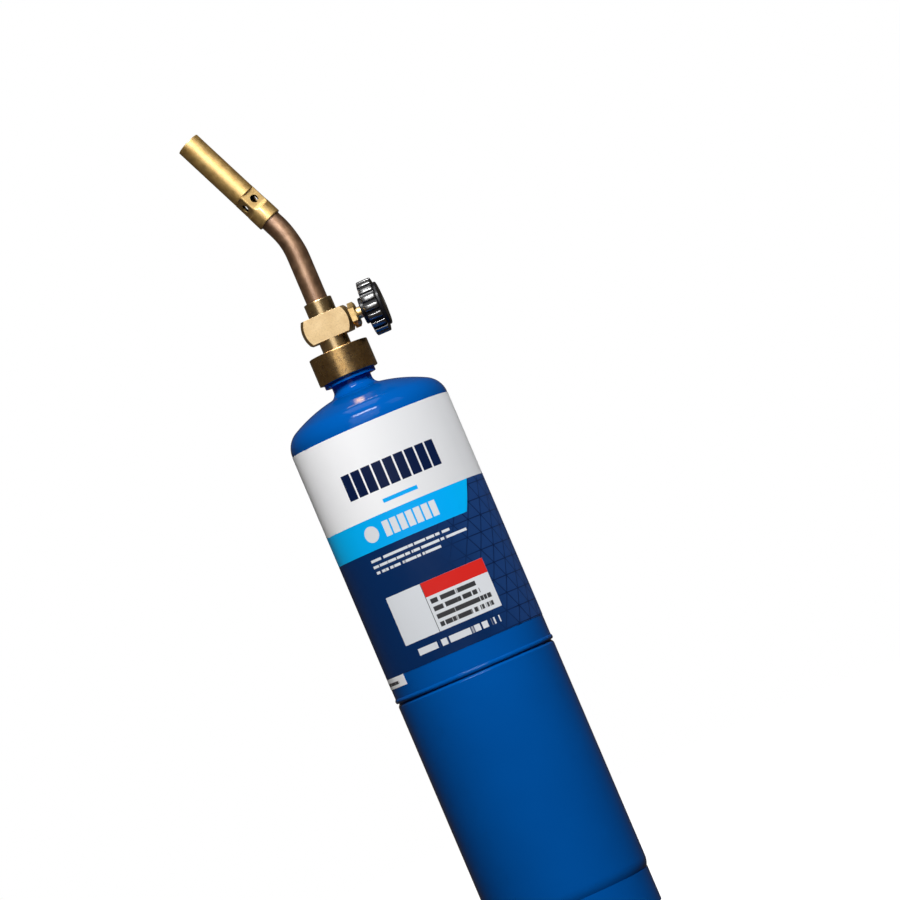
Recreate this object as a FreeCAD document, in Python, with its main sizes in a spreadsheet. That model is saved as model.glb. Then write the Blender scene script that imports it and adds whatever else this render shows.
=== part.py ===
import FreeCAD, Part
import os
import re

import Sketcher
from FreeCAD import Placement, Rotation, Vector

# Propane torch: a slim gas cylinder on its foot ring, with a brass pencil-flame head screwed on top.
# Frame: Z runs up the cylinder's axis from the floor, X points along the control knob's axis, and the
# burner leans towards -X. Lengths are in millimetres and angles in degrees.

SIZES = {
    # pressed steel cylinder
    "body_radius": 37.35,
    "shell_wall": 0.9,
    "crown_radius": 68.0,
    "knuckle_radius": 10.5,
    "foot_radius": 36.5,
    "foot_wall": 1.4,
    "foot_height": 16.0,
    "foot_round": 0.3,
    "foot_fit": 2.6,
    "base_wall_z": 20.8,
    "seam_z": 124.7,
    "seam_bead": 4.3,
    "seam_bead_radius": 4.87,
    "joggle_run": 1.5,
    "lap_length": 8.0,
    "lap_gap": 0.05,
    "shoulder_z": 243.6,
    "neck_radius": 9.25,
    "neck_flare": 3.4,
    "neck_top_z": 265.1,
    # printed wrap
    "label_low_z": 136.3,
    "label_high_z": 243.4,
    "label_thick": 0.12,
    "strip_low_z": 131.5,
    "strip_start": 33.0,
    "strip_sweep": 190.0,
    # threaded boss brazed in the neck
    "boss_low_z": 252.0,
    "flange_radius": 12.0,
    "thread_low_z": 267.6,
    "thread_radius": 12.6,
    "thread_depth": 0.6,
    "thread_pitch": 1.27,
    "boss_top_z": 276.9,
    "core_radius": 4.6,
    # self-closing valve in the boss
    "core_low_z": 257.0,
    "core_top_z": 270.0,
    "core_bore": 2.8,
    "core_seat_z": 266.75,
    "core_floor": 1.2,
    "pin_radius": 0.95,
    "pin_top_z": 271.1,
    "pin_head_z": 263.0,
    "pin_head_radius": 2.2,
    "pin_seal_thick": 1.0,
    "spring_wire": 0.25,
    # relief valve beside it
    "relief_offset": 7.2,
    "relief_pocket": 1.8,
    "relief_floor_z": 266.6,
    "relief_port": 0.7,
    "poppet_height": 3.0,
    "retainer_low_z": 274.5,
    "retainer_high_z": 276.4,
    # torch head: inlet
    "coupling_radius": 13.85,
    "coupling_low_z": 267.2,
    "coupling_roof_z": 278.3,
    "coupling_top_z": 280.0,
    "coupling_edge": 0.5,
    "thread_play": 0.06,
    "wrench_flat": 13.25,
    "wrench_turn": 49.0,
    "washer_bore": 1.75,
    "washer_radius": 5.3,
    "washer_gap": 0.05,
    "spigot_radius": 4.5,
    "probe_radius": 1.6,
    "probe_bore": 0.6,
    "probe_head": 2.4,
    "probe_top_z": 281.6,
    "filter_top_z": 284.6,
    # torch head: valve
    "valve_neck_radius": 6.7,
    "valve_low_z": 285.4,
    "valve_z": 291.15,
    "valve_high_z": 296.9,
    "valve_disc_radius": 12.0,
    "valve_disc_thick": 13.5,
    "valve_disc_edge": 1.3,
    "valve_collar_radius": 6.5,
    "valve_collar_top_z": 303.4,
    "gas_way": 1.1,
    "inlet_way_x": 3.0,
    "outlet_way_x": 2.2,
    "seat_x": 1.0,
    "seat_port": 0.45,
    "chamber_radius": 2.2,
    "chamber_x": 4.5,
    "stem_thread_radius": 2.35,
    "gland_x": 8.2,
    "gland_radius": 3.9,
    "nut_face_x": 11.45,
    "nut_end_x": 14.6,
    "nut_flats": 10.2,
    "nut_edge": 0.5,
    "ring_room": 3.05,
    "ring_room_x": 12.1,
    "stem_radius": 2.7,
    "stem_play": 0.06,
    "ring_x": 9.4,
    "ring_wire": 0.53,
    "stem_groove": 1.84,
    "needle_tip_x": 0.6,
    "needle_tip_radius": 0.25,
    "needle_root_x": 2.2,
    "needle_root_radius": 0.95,
    "stem_nose_radius": 1.6,
    "stem_nose_x": 5.2,
    "screw_radius": 1.2,
    # torch head: knob
    "knob_x": 16.7,
    "knob_hub_radius": 6.1,
    "knob_rim_x": 18.8,
    "knob_core_radius": 11.7,
    "knob_radius": 12.8,
    "knob_front_x": 25.6,
    "knob_cap_radius": 10.1,
    "knob_cap_x": 27.4,
    "knob_bore": 2.2,
    "knob_ribs": 18,
    "rib_width": 2.3,
    "rib_start": 12.5,
    "screw_head_radius": 2.6,
    "screw_head_deep": 1.2,
    "slot_wide": 0.7,
    "slot_long": 3.2,
    # torch head: tube and burner
    "tube_radius": 5.0,
    "tube_wall": 0.9,
    "tube_low_z": 298.6,
    "bend_z": 324.1,
    "bend_radius": 42.0,
    "bend_angle": 24.0,
    "bend_to_collar": 4.0,
    "tube_socket": 5.0,
    "collar_radius": 5.95,
    "collar_length": 7.0,
    "waist_length": 8.5,
    "waist_flats": 8.9,
    "air_hole": 1.95,
    "air_turn": 33.0,
    "mixer_bore": 3.6,
    "mixer_spigot": 4.0,
    "burner_radius": 5.75,
    "burner_wall": 0.8,
    "burner_end": 50.1,
    "burner_edge": 0.25,
    "jet_length": 5.0,
    "jet_hole": 0.2,
    "jet_tip_radius": 1.2,
    "holder_from_end": 12.0,
    "holder_thick": 2.0,
    "holder_hole": 2.0,
    "port_offset": 3.4,
    "port_radius": 0.5,
    "port_count": 8,
}

AXIS_ALONG_X = Rotation(Vector(0, 1, 0), 90)
AXIS_ALONG_Y = Rotation(Vector(1, 0, 0), -90)

doc = FreeCAD.newDocument("propane_torch")
sheet = doc.addObject("Spreadsheet::Sheet", "dims")
for row, (alias, size) in enumerate(SIZES.items(), start=1):
    sheet.set(f"A{row}", alias)
    sheet.set(f"B{row}", str(size))
    sheet.setAlias(f"B{row}", alias)
doc.recompute()

nodes = []


def bound(text):
    """The expression with each name of the sheet written as that sheet's cell."""
    return re.sub(r"[a-z_]+", lambda word: f"dims.{word[0]}" if word[0] in SIZES else word[0], str(text))


def value(text):
    """What the expression is worth now."""
    return float(sheet.evalExpression(bound(text)))


def bind(thing, **expressions):
    """Ties an object's properties to the sheet."""
    for name, text in expressions.items():
        thing.setExpression(name, bound(text))
    return thing


def place(thing, x="0", y="0", z="0", rotation=Rotation()):
    """Puts an object where the expressions say."""
    thing.Placement = Placement(Vector(value(x), value(y), value(z)), rotation)
    for letter, text in (("x", x), ("y", y), ("z", z)):
        thing.setExpression(f"Placement.Base.{letter}", bound(text))
    return thing


def node(thing, label):
    """Makes the object the finished sub-part of that name."""
    thing.Label = label
    nodes.append(thing)
    return thing


# ---- outlines: a step is (across, up) or (across, up, radius, turn), turn 1 bends left and -1 right ----


def arc_between(start, end, radius, turn):
    """The short arc from start to end, which a sketch keeps counter-clockwise."""
    chord = end - start
    side = Vector(-chord.y, chord.x, 0).normalize() * turn
    centre = (start + end) / 2 + side * max(radius**2 - (chord.Length / 2) ** 2, 0) ** 0.5
    first, last = (start, end) if turn > 0 else (end, start)
    angles = [(point - centre).getAngle(Vector(1, 0, 0)) for point in (first, last)]
    angles = [-a if (p - centre).y < 0 else a for a, p in zip(angles, (first, last))]
    return Part.ArcOfCircle(Part.Circle(centre, Vector(0, 0, 1), radius), *angles)


def draw(sketch, steps, closed=True):
    """Draws the steps in a sketch, and ties every corner and radius to the sheet."""
    corners = [Vector(value(step[0]), value(step[1]), 0) for step in steps]
    lines = []
    for number, step in enumerate(steps):
        following = (number + 1) % len(steps)
        if following == 0 and not closed:
            break
        start, end = corners[number], corners[following]
        bend = steps[following][2:]
        if bend:
            lines.append((sketch.addGeometry(arc_between(start, end, value(bend[0]), bend[1]), False), bend))
        else:
            lines.append((sketch.addGeometry(Part.LineSegment(start, end), False), None))

    def end_of(number, last):
        """The sketch's own number for an edge's first or last point."""
        edge, bend = lines[number]
        backwards = bool(bend) and bend[1] < 0
        return edge, 2 if last != backwards else 1

    for number, (edge, bend) in enumerate(lines):
        tie_point(sketch, end_of(number, False), steps[number])
        if closed or number + 1 < len(lines):
            ends = end_of(number, True) + end_of((number + 1) % len(lines), False)
            sketch.addConstraint(Sketcher.Constraint("Coincident", *ends))
        else:
            tie_point(sketch, end_of(number, True), steps[number + 1])
        if bend:
            radius = sketch.addConstraint(Sketcher.Constraint("Radius", edge, value(bend[0])))
            sketch.setExpression(f"Constraints[{radius}]", bound(bend[0]))


def tie_point(sketch, point, step):
    """Holds a sketch point at a step's two distances from the origin."""
    for kind, text in zip(("DistanceX", "DistanceY"), step):
        held = sketch.addConstraint(Sketcher.Constraint(kind, -1, 1, *point, value(text)))
        sketch.setExpression(f"Constraints[{held}]", bound(text))


def walked_back(steps):
    """The same open outline from its last step to its first."""
    bends = [tuple(step[2:]) for step in steps[1:]] + [()]
    turned = [(*step[:2], *((bend[0], -bend[1]) if bend else ())) for step, bend in zip(steps, bends)]
    return turned[::-1]


# ---- solids ----


def body_plane(body, role):
    """One of a body's own origin planes or axes."""
    return next(feature for feature in body.Origin.OriginFeatures if feature.Role == role)


def sketch_on(body, name, role):
    """An empty sketch on one of the body's origin planes."""
    sketch = body.newObject("Sketcher::SketchObject", name)
    sketch.AttachmentSupport = (body_plane(body, role), [""])
    sketch.MapMode = "FlatFace"
    return sketch


def turned(name, steps, sweep="360"):
    """A body turned about its own Z axis, from an outline of (radius, height) steps."""
    body = doc.addObject("PartDesign::Body", name)
    sketch = sketch_on(body, f"{name}_outline", "XZ_Plane")
    draw(sketch, steps)
    spin = body.newObject("PartDesign::Revolution", f"{name}_turn")
    spin.Profile = sketch
    spin.ReferenceAxis = (sketch, ["V_Axis"])
    bind(spin, Angle=sweep)
    sketch.Visibility = False
    return body


def repeat(body, feature, count):
    """Repeats a feature of the body round its Z axis."""
    pattern = body.newObject("PartDesign::PolarPattern", f"{feature.Name}_pattern")
    pattern.Originals = [feature]
    pattern.Axis = (body_plane(body, "Z_Axis"), [""])
    pattern.Angle = 360
    bind(pattern, Occurrences=count)
    body.Tip = pattern


def ring(name, inner, outer, low, high):
    """A plain tube or washer turned about Z."""
    return turned(name, [(inner, low), (outer, low), (outer, high), (inner, high)])


def rod(name, radius, length, x="0", y="0", z="0", rotation=Rotation()):
    """A cylinder that starts at the place given and runs along its own axis."""
    solid = bind(doc.addObject("Part::Cylinder", name), Radius=radius, Height=length)
    return place(solid, x, y, z, rotation)


def block(name, length, width, height, x="0", y="0", z="0", rotation=Rotation()):
    """A box with one corner at the place given."""
    solid = bind(doc.addObject("Part::Box", name), Length=length, Width=width, Height=height)
    return place(solid, x, y, z, rotation)


def joined(name, solids):
    """Several solids as one."""
    fuse = doc.addObject("Part::MultiFuse", name)
    fuse.Shapes = solids
    return fuse


def shared(name, solids):
    """What the solids have in common."""
    common = doc.addObject("Part::MultiCommon", name)
    common.Shapes = solids
    return common


def cut(name, solid, tools):
    """The solid with the tools taken out of it."""
    less = doc.addObject("Part::Cut", name)
    less.Base = solid
    less.Tool = tools[0] if len(tools) == 1 else joined(f"{name}_tools", tools)
    return less


def coil(name, radius, wire, low, high, turns, x="0"):
    """A compression spring of round wire, standing on low with its top at high."""
    length = f"({high}) - ({low}) - 2 * {wire}"
    helix = bind(
        doc.addObject("Part::Helix", f"{name}_path"),
        Radius=radius,
        Height=length,
        Pitch=f"({length}) / {turns}",
    )
    place(helix, x=x, z=f"{low} + {wire}")
    section = bind(doc.addObject("Part::Circle", f"{name}_wire"), Radius=wire)
    place(section, x=f"{x} + {radius}", z=f"{low} + {wire}", rotation=Rotation(Vector(1, 0, 0), 90))
    spring = doc.addObject("Part::Sweep", name)
    spring.Sections = [section]
    spring.Spine = (helix, [])
    spring.Solid = True
    spring.Frenet = True
    return spring


# ---- gas cylinder ----


def dome(wall_z, up, inset, inner_radius="0"):
    """Outline of a dished end from the straight wall to the axis: knuckle, then crown. up is 1 or -1."""
    rise = "sqrt((crown_radius - knuckle_radius) ^ 2 - (body_radius - knuckle_radius) ^ 2)"
    centre = f"({wall_z} - {up} * {rise})"
    crown = f"(crown_radius - {inset})"
    lean = "(crown_radius - knuckle_radius)"
    steps = [
        (f"body_radius - {inset}", wall_z),
        (
            f"{crown} * (body_radius - knuckle_radius) / {lean}",
            f"{centre} + {up} * {crown} * {rise} / {lean}",
            f"knuckle_radius - {inset}",
            up,
        ),
    ]
    if inner_radius == "0":
        return steps + [("0", f"{centre} + {up} * {crown}", crown, up)]
    reach = "(crown_radius + neck_flare)"
    climb = f"sqrt({reach} ^ 2 - (neck_radius + neck_flare) ^ 2)"
    flare_radius = f"{crown} * (neck_radius + neck_flare) / {reach}"
    flare = (flare_radius, f"{centre} + {crown} * {climb} / {reach}", crown, 1)
    neck = (inner_radius, f"{centre} + {climb}", f"neck_flare + {inset}", -1)
    return steps + [flare, neck]


def make_foot_ring():
    inner = "(foot_radius - foot_wall)"
    return turned("foot_ring", [
        (f"{inner} + foot_round", "0", "foot_round", 1),
        ("foot_radius - foot_round", "0"),
        ("foot_radius", "foot_round", "foot_round", 1),
        ("foot_radius", "foot_height"),
        (inner, "foot_height - foot_fit"),
        (inner, "foot_round"),
    ])


def make_lower_shell():
    lap = "(body_radius - shell_wall - lap_gap)"
    outside = walked_back(dome("base_wall_z", -1, "0")) + [
        ("body_radius", "seam_z - joggle_run"),
        (lap, "seam_z"),
        (lap, "seam_z + lap_length"),
    ]
    inside = [
        (f"{lap} - shell_wall", "seam_z + lap_length"),
        (f"{lap} - shell_wall", "seam_z - shell_wall / 2"),
        ("body_radius - shell_wall", "seam_z - joggle_run - shell_wall / 2"),
    ] + dome("base_wall_z", -1, "shell_wall")
    return turned("lower_shell", outside + inside)


def make_upper_shell():
    inner_neck = "(neck_radius - shell_wall)"
    outside = [
        ("body_radius - shell_wall", "seam_z"),
        ("body_radius", "seam_z"),
        ("body_radius", "seam_z + seam_bead", "seam_bead_radius", 1),
    ] + dome("shoulder_z", 1, "0", "neck_radius")
    outside += [("neck_radius", "neck_top_z"), (inner_neck, "neck_top_z")]
    return turned("upper_shell", outside + walked_back(dome("shoulder_z", 1, "shell_wall", inner_neck)))


def make_label_wrap():
    return ring("label_wrap", "body_radius", "body_radius + label_thick", "label_low_z", "label_high_z")


def make_label_strip():
    outer = "body_radius + label_thick"
    strip = turned("label_strip", [
        ("body_radius", "strip_low_z"),
        (outer, "strip_low_z"),
        (outer, "label_low_z"),
        ("body_radius", "label_low_z"),
    ], "strip_sweep")
    return place(strip, rotation=Rotation(Vector(0, 0, 1), SIZES["strip_start"]))


def make_neck_boss():
    shank = "(neck_radius - shell_wall)"
    root = "(thread_radius - thread_depth)"
    turns = int((SIZES["boss_top_z"] - SIZES["thread_low_z"] - 0.6) / SIZES["thread_pitch"])
    thread = []
    for turn in range(turns):
        low = f"thread_low_z + {turn} * thread_pitch"
        thread += [
            (root, low),
            ("thread_radius", f"{low} + 0.45 * thread_pitch"),
            ("thread_radius", f"{low} + 0.6 * thread_pitch"),
        ]
    outline = [
        ("core_radius", "boss_low_z"),
        (shank, "boss_low_z"),
        (shank, "neck_top_z"),
        ("flange_radius", "neck_top_z"),
        *thread,
        (root, f"thread_low_z + {turns} * thread_pitch"),
        (f"{root} - thread_depth", "boss_top_z"),
        ("core_radius", "boss_top_z"),
    ]
    pocket_deep = "boss_top_z - relief_floor_z + 1"
    pocket = rod("relief_bore", "relief_pocket", pocket_deep, "relief_offset", z="relief_floor_z")
    port_deep = "relief_floor_z - boss_low_z + 2"
    port = rod("relief_way", "relief_port", port_deep, "relief_offset", z="boss_low_z - 1")
    return cut("neck_boss", turned("boss_blank", outline), [pocket, port])


def make_tank_valve_core():
    return turned("tank_valve_core", [
        ("pin_radius + 0.1", "core_low_z"),
        ("core_radius", "core_low_z"),
        ("core_radius", "core_top_z"),
        ("pin_radius + 0.35", "core_top_z"),
        ("pin_radius + 0.35", "core_seat_z"),
        ("core_bore", "core_seat_z"),
        ("core_bore", "core_low_z + core_floor"),
        ("pin_radius + 0.1", "core_low_z + core_floor"),
    ])


def make_tank_valve_pin():
    return turned("tank_valve_pin", [
        ("0", "core_low_z + 0.4"),
        ("pin_radius", "core_low_z + 0.4"),
        ("pin_radius", "pin_head_z"),
        ("pin_head_radius", "pin_head_z"),
        ("pin_head_radius", "pin_head_z + core_floor"),
        ("pin_radius", "pin_head_z + core_floor"),
        ("pin_radius", "pin_top_z"),
        ("0", "pin_top_z"),
    ])


def make_tank_valve_seal():
    low = "pin_head_z + core_floor"
    return ring("tank_valve_seal", "pin_radius", "pin_head_radius", low, f"{low} + pin_seal_thick")


def make_tank_valve_spring():
    low = "core_low_z + core_floor"
    return coil("tank_valve_spring", "pin_radius + 0.75", "spring_wire", low, "pin_head_z", 5)


def make_relief_poppet():
    radius = "(relief_pocket - 0.1)"
    poppet = turned("relief_poppet", [
        ("0", "0"),
        (radius, "0"),
        (radius, "poppet_height / 2"),
        (f"{radius} / 2", "poppet_height / 2"),
        (f"{radius} / 2", "poppet_height"),
        ("0", "poppet_height"),
    ])
    return place(poppet, x="relief_offset", z="relief_floor_z")


def make_relief_spring():
    low = "relief_floor_z + poppet_height / 2"
    return coil("relief_spring", "relief_pocket - 0.45", "spring_wire", low, "retainer_low_z", 5, "relief_offset")


def make_relief_retainer():
    retainer = ring("relief_retainer", "relief_port", "relief_pocket", "0", "retainer_high_z - retainer_low_z")
    return place(retainer, x="relief_offset", z="retainer_low_z")


# ---- torch head: inlet ----


def make_inlet_coupling():
    bore = "(thread_radius + thread_play)"
    blank = turned("coupling_blank", [
        (bore, "coupling_low_z + coupling_edge"),
        (f"{bore} + coupling_edge", "coupling_low_z"),
        ("coupling_radius - coupling_edge", "coupling_low_z"),
        ("coupling_radius", "coupling_low_z + coupling_edge"),
        ("coupling_radius", "coupling_top_z - coupling_edge"),
        ("coupling_radius - coupling_edge", "coupling_top_z"),
        ("spigot_radius", "coupling_top_z"),
        ("spigot_radius", "coupling_roof_z"),
        (bore, "coupling_roof_z"),
    ])
    width = "2 * coupling_radius"
    height = "coupling_top_z"
    far_side = "-wrench_flat - coupling_radius"
    flats = joined("wrench_flats", [
        block("wrench_flat_a", "coupling_radius", width, height, x="wrench_flat", y="-coupling_radius"),
        block("wrench_flat_b", "coupling_radius", width, height, far_side, "-coupling_radius"),
    ])
    flats.Placement.Rotation = Rotation(Vector(0, 0, 1), -90 - SIZES["wrench_turn"])
    return cut("inlet_coupling", blank, [flats])


def make_inlet_seal():
    low, high = "boss_top_z + washer_gap", "coupling_roof_z - washer_gap"
    return ring("inlet_seal", "washer_bore", "washer_radius", low, high)


def make_inlet_probe():
    return turned("inlet_probe", [
        ("probe_bore", "pin_top_z + 0.05"),
        ("probe_radius", "pin_top_z + 0.05"),
        ("probe_radius", "coupling_roof_z"),
        ("probe_head", "coupling_roof_z"),
        ("probe_head", "probe_top_z"),
        ("probe_bore", "probe_top_z"),
    ])


def make_inlet_filter():
    return rod("inlet_filter", "probe_head", "filter_top_z - probe_top_z", z="probe_top_z")


# ---- torch head: valve ----


def make_valve_body():
    half = "(valve_disc_thick / 2)"
    disc = turned("valve_disc", [
        ("0", "0"),
        ("valve_disc_radius - valve_disc_edge", "0"),
        ("valve_disc_radius", "valve_disc_edge"),
        ("valve_disc_radius", "valve_disc_thick - valve_disc_edge"),
        ("valve_disc_radius - valve_disc_edge", "valve_disc_thick"),
        ("0", "valve_disc_thick"),
    ])
    place(disc, y=f"-{half}", z="valve_z", rotation=AXIS_ALONG_Y)
    slab = block("valve_slab", "40", "40", "valve_high_z - valve_low_z", "-20", "-20", "valve_low_z")
    neck = rod("valve_neck", "valve_neck_radius", "valve_z - coupling_top_z", z="coupling_top_z")
    spigot = rod("valve_spigot", "spigot_radius", "valve_z - coupling_roof_z", z="coupling_roof_z")
    collar = rod("valve_collar", "valve_collar_radius", "valve_collar_top_z - valve_z", z="valve_z")
    blank = joined("valve_blank", [shared("valve_slug", [disc, slab]), neck, spigot, collar])
    along = AXIS_ALONG_X
    stem_way = "stem_thread_radius + stem_play"
    ways = [
        rod("probe_socket", "probe_head", "filter_top_z - coupling_roof_z + 1", z="coupling_roof_z - 1"),
        rod("inlet_way", "gas_way", "valve_z - filter_top_z + 1", x="-inlet_way_x + 1.5", z="filter_top_z - 1"),
        rod("seat_way", "seat_port", "inlet_way_x + seat_x", x="-inlet_way_x", z="valve_z", rotation=along),
        rod("chamber", "chamber_radius", "chamber_x - seat_x", x="seat_x", z="valve_z", rotation=along),
        rod("stem_way", stem_way, "gland_x", x="chamber_x - 0.5", z="valve_z", rotation=along),
        rod("gland_way", "gland_radius", "10", x="gland_x", z="valve_z", rotation=along),
        rod("nut_seat", "nut_flats * 0.6", "10", x="nut_face_x", z="valve_z", rotation=along),
        rod("outlet_way", "gas_way", "tube_low_z - valve_z + 1", x="outlet_way_x", z="valve_z"),
        rod("tube_socket_bore", "tube_radius", "20", z="tube_low_z"),
    ]
    return cut("valve_body", blank, ways)


def make_needle_stem():
    screw_seat = "knob_cap_x - screw_head_deep"
    stem = turned("needle_stem", [
        ("0", "needle_tip_x"),
        ("needle_tip_radius", "needle_tip_x"),
        ("needle_root_radius", "needle_root_x"),
        ("stem_nose_radius", "needle_root_x"),
        ("stem_nose_radius", "stem_nose_x"),
        ("stem_thread_radius", "stem_nose_x + 0.2"),
        ("stem_thread_radius", "gland_x - 0.2"),
        ("stem_groove", "gland_x - 0.2"),
        ("stem_groove", "ring_x + 0.9"),
        ("stem_radius", "ring_x + 0.9"),
        ("stem_radius", "knob_x"),
        ("knob_bore", "knob_x"),
        ("knob_bore", screw_seat),
        ("screw_radius", screw_seat),
        ("screw_radius", "knob_rim_x"),
        ("0", "knob_rim_x"),
    ])
    return place(stem, z="valve_z", rotation=AXIS_ALONG_X)


def make_stem_o_ring():
    torus = doc.addObject("Part::Torus", "stem_o_ring")
    bind(torus, Radius1="stem_groove + ring_wire + 0.04", Radius2="ring_wire")
    return place(torus, x="ring_x", z="valve_z", rotation=AXIS_ALONG_X)


def make_packing_nut():
    corner = "(nut_flats / sqrt(3))"
    blank = turned("nut_blank", [
        ("ring_room", "gland_x"),
        ("gland_radius", "gland_x"),
        ("gland_radius", "nut_face_x"),
        (corner, "nut_face_x"),
        (corner, "nut_end_x - nut_edge"),
        (f"{corner} - 1.7 * nut_edge", "nut_end_x"),
        ("stem_radius + stem_play", "nut_end_x"),
        ("stem_radius + stem_play", "ring_room_x"),
        ("ring_room", "ring_room_x"),
    ])
    hexagon = bind(doc.addObject("Part::Prism", "nut_hexagon"), Circumradius=corner, Height="nut_end_x")
    hexagon.Polygon = 6
    nut = shared("packing_nut", [blank, hexagon])
    return place(nut, z="valve_z", rotation=AXIS_ALONG_X)


def make_control_knob():
    knob = turned("control_knob", [
        ("knob_bore", "knob_x"),
        ("knob_hub_radius - 0.4", "knob_x"),
        ("knob_hub_radius", "knob_x + 0.4"),
        ("knob_hub_radius", "knob_rim_x"),
        ("knob_core_radius - 0.5", "knob_rim_x"),
        ("knob_core_radius", "knob_rim_x + 0.5"),
        ("knob_core_radius", "knob_front_x - 0.5"),
        ("knob_core_radius - 0.5", "knob_front_x"),
        ("knob_cap_radius", "knob_front_x"),
        ("knob_cap_radius", "knob_cap_x - 0.7"),
        ("knob_cap_radius - 0.7", "knob_cap_x", "0.7", 1),
        ("screw_head_radius + 0.1", "knob_cap_x"),
        ("screw_head_radius + 0.1", "knob_cap_x - screw_head_deep"),
        ("knob_bore", "knob_cap_x - screw_head_deep"),
    ])
    doc.recompute()
    rib_sketch = sketch_on(knob, "rib_outline", "XZ_Plane")
    draw(rib_sketch, [
        ("knob_core_radius - 1", "knob_rim_x"),
        ("knob_radius - 0.3", "knob_rim_x"),
        ("knob_radius", "knob_rim_x + 0.3"),
        ("knob_radius", "knob_front_x - 0.3"),
        ("knob_radius - 0.3", "knob_front_x"),
        ("knob_core_radius - 1", "knob_front_x"),
    ])
    rib = knob.newObject("PartDesign::Pad", "rib")
    rib.Profile = rib_sketch
    rib.SideType = "Symmetric"
    bind(rib, Length="rib_width")
    rib_sketch.Visibility = False
    repeat(knob, rib, "knob_ribs")
    first_rib = Rotation(Vector(0, 0, 1), SIZES["rib_start"])
    return place(knob, z="valve_z", rotation=AXIS_ALONG_X.multiply(first_rib))


def make_knob_screw():
    head = "knob_cap_x - screw_head_deep"
    slot_floor = "knob_cap_x - 0.8"
    blank = turned("screw_blank", [
        ("0", "knob_rim_x + 0.2"),
        ("screw_radius", "knob_rim_x + 0.2"),
        ("screw_radius", head),
        ("screw_head_radius", head),
        ("screw_head_radius", "knob_cap_x - 0.3"),
        ("screw_head_radius - 0.3", "knob_cap_x", "0.3", 1),
        ("0", "knob_cap_x"),
    ])
    slots = [
        block("slot_a", "slot_wide", "slot_long", "2", "-slot_wide / 2", "-slot_long / 2", slot_floor),
        block("slot_b", "slot_long", "slot_wide", "2", "-slot_long / 2", "-slot_wide / 2", slot_floor),
    ]
    return place(cut("knob_screw", blank, slots), z="valve_z", rotation=AXIS_ALONG_X)


# ---- torch head: tube and burner ----

BURNER_X = "-(bend_radius * (1 - cos(bend_angle)) + bend_to_collar * sin(bend_angle))"
BURNER_Z = "bend_z + bend_radius * sin(bend_angle) + bend_to_collar * cos(bend_angle)"


def on_burner(solid, along="0"):
    """Moves a solid from the Z axis to the burner's axis, that far above the collar's lower end."""
    lean = Rotation(Vector(0, 1, 0), -SIZES["bend_angle"])
    x = f"{BURNER_X} - ({along}) * sin(bend_angle)"
    z = f"{BURNER_Z} + ({along}) * cos(bend_angle)"
    return place(solid, x=x, z=z, rotation=lean)


def make_stem_tube():
    path = doc.addObject("Sketcher::SketchObject", "tube_path")
    path.Placement = Placement(Vector(), Rotation(Vector(1, 0, 0), 90))
    draw(path, [
        ("0", "tube_low_z"),
        ("0", "bend_z"),
        ("-bend_radius * (1 - cos(bend_angle))", "bend_z + bend_radius * sin(bend_angle)", "bend_radius", 1),
        (f"{BURNER_X} - tube_socket * sin(bend_angle)", f"{BURNER_Z} + tube_socket * cos(bend_angle)"),
    ], closed=False)
    pipes = []
    for name, radius in (("tube_skin", "tube_radius"), ("tube_bore", "tube_radius - tube_wall")):
        circle = doc.addObject("Part::Circle", f"{name}_section")
        section = place(bind(circle, Radius=radius), z="tube_low_z")
        pipe = doc.addObject("Part::Sweep", name)
        pipe.Sections = [section]
        pipe.Spine = (path, [])
        pipe.Solid = True
        pipes.append(pipe)
    return cut("stem_tube", pipes[0], pipes[1:])


def make_gas_orifice():
    bore = "(tube_radius - tube_wall)"
    jet_seat = "(jet_length * 0.6)"
    jet = turned("gas_orifice", [
        ("jet_hole", "0"),
        (bore, "0"),
        (bore, jet_seat),
        ("mixer_bore - 0.4", jet_seat),
        ("jet_tip_radius", "jet_length"),
        ("jet_hole", "jet_length"),
    ])
    return on_burner(jet, f"tube_socket - {jet_seat}")


def make_mixer_body():
    waist_top = "(collar_length + waist_length)"
    blank = turned("mixer_blank", [
        ("tube_radius", "0"),
        ("collar_radius - burner_edge", "0"),
        ("collar_radius", "burner_edge"),
        ("collar_radius", waist_top),
        ("burner_radius - burner_wall", waist_top),
        ("burner_radius - burner_wall", f"{waist_top} + mixer_spigot"),
        ("mixer_bore", f"{waist_top} + mixer_spigot"),
        ("mixer_bore", "tube_socket"),
        ("tube_radius", "tube_socket"),
    ])
    tools = []
    for side in range(4):
        face, low = "waist_flats / 2", "collar_length"
        flat = block(f"waist_flat_{side}", "8", "20", "waist_length", x=face, y="-10", z=low)
        middle = "collar_length + waist_length / 2"
        hole = rod(f"air_hole_{side}", "air_hole", "10", z=middle, rotation=AXIS_ALONG_X)
        spun = joined(f"waist_cut_{side}", [flat, hole])
        spun.Placement = Placement(Vector(), Rotation(Vector(0, 0, 1), 90 * side - 90 + SIZES["air_turn"]))
        tools.append(spun)
    return on_burner(cut("mixer_body", blank, tools))


def make_burn_tube():
    inner = "(burner_radius - burner_wall)"
    low = "(collar_length + waist_length)"
    return on_burner(turned("burn_tube", [
        (inner, low),
        ("burner_radius - burner_edge", low),
        ("burner_radius", f"{low} + burner_edge"),
        ("burner_radius", "burner_end - burner_edge"),
        ("burner_radius - burner_edge", "burner_end", "burner_edge", 1),
        (inner, "burner_end"),
    ]))


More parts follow.
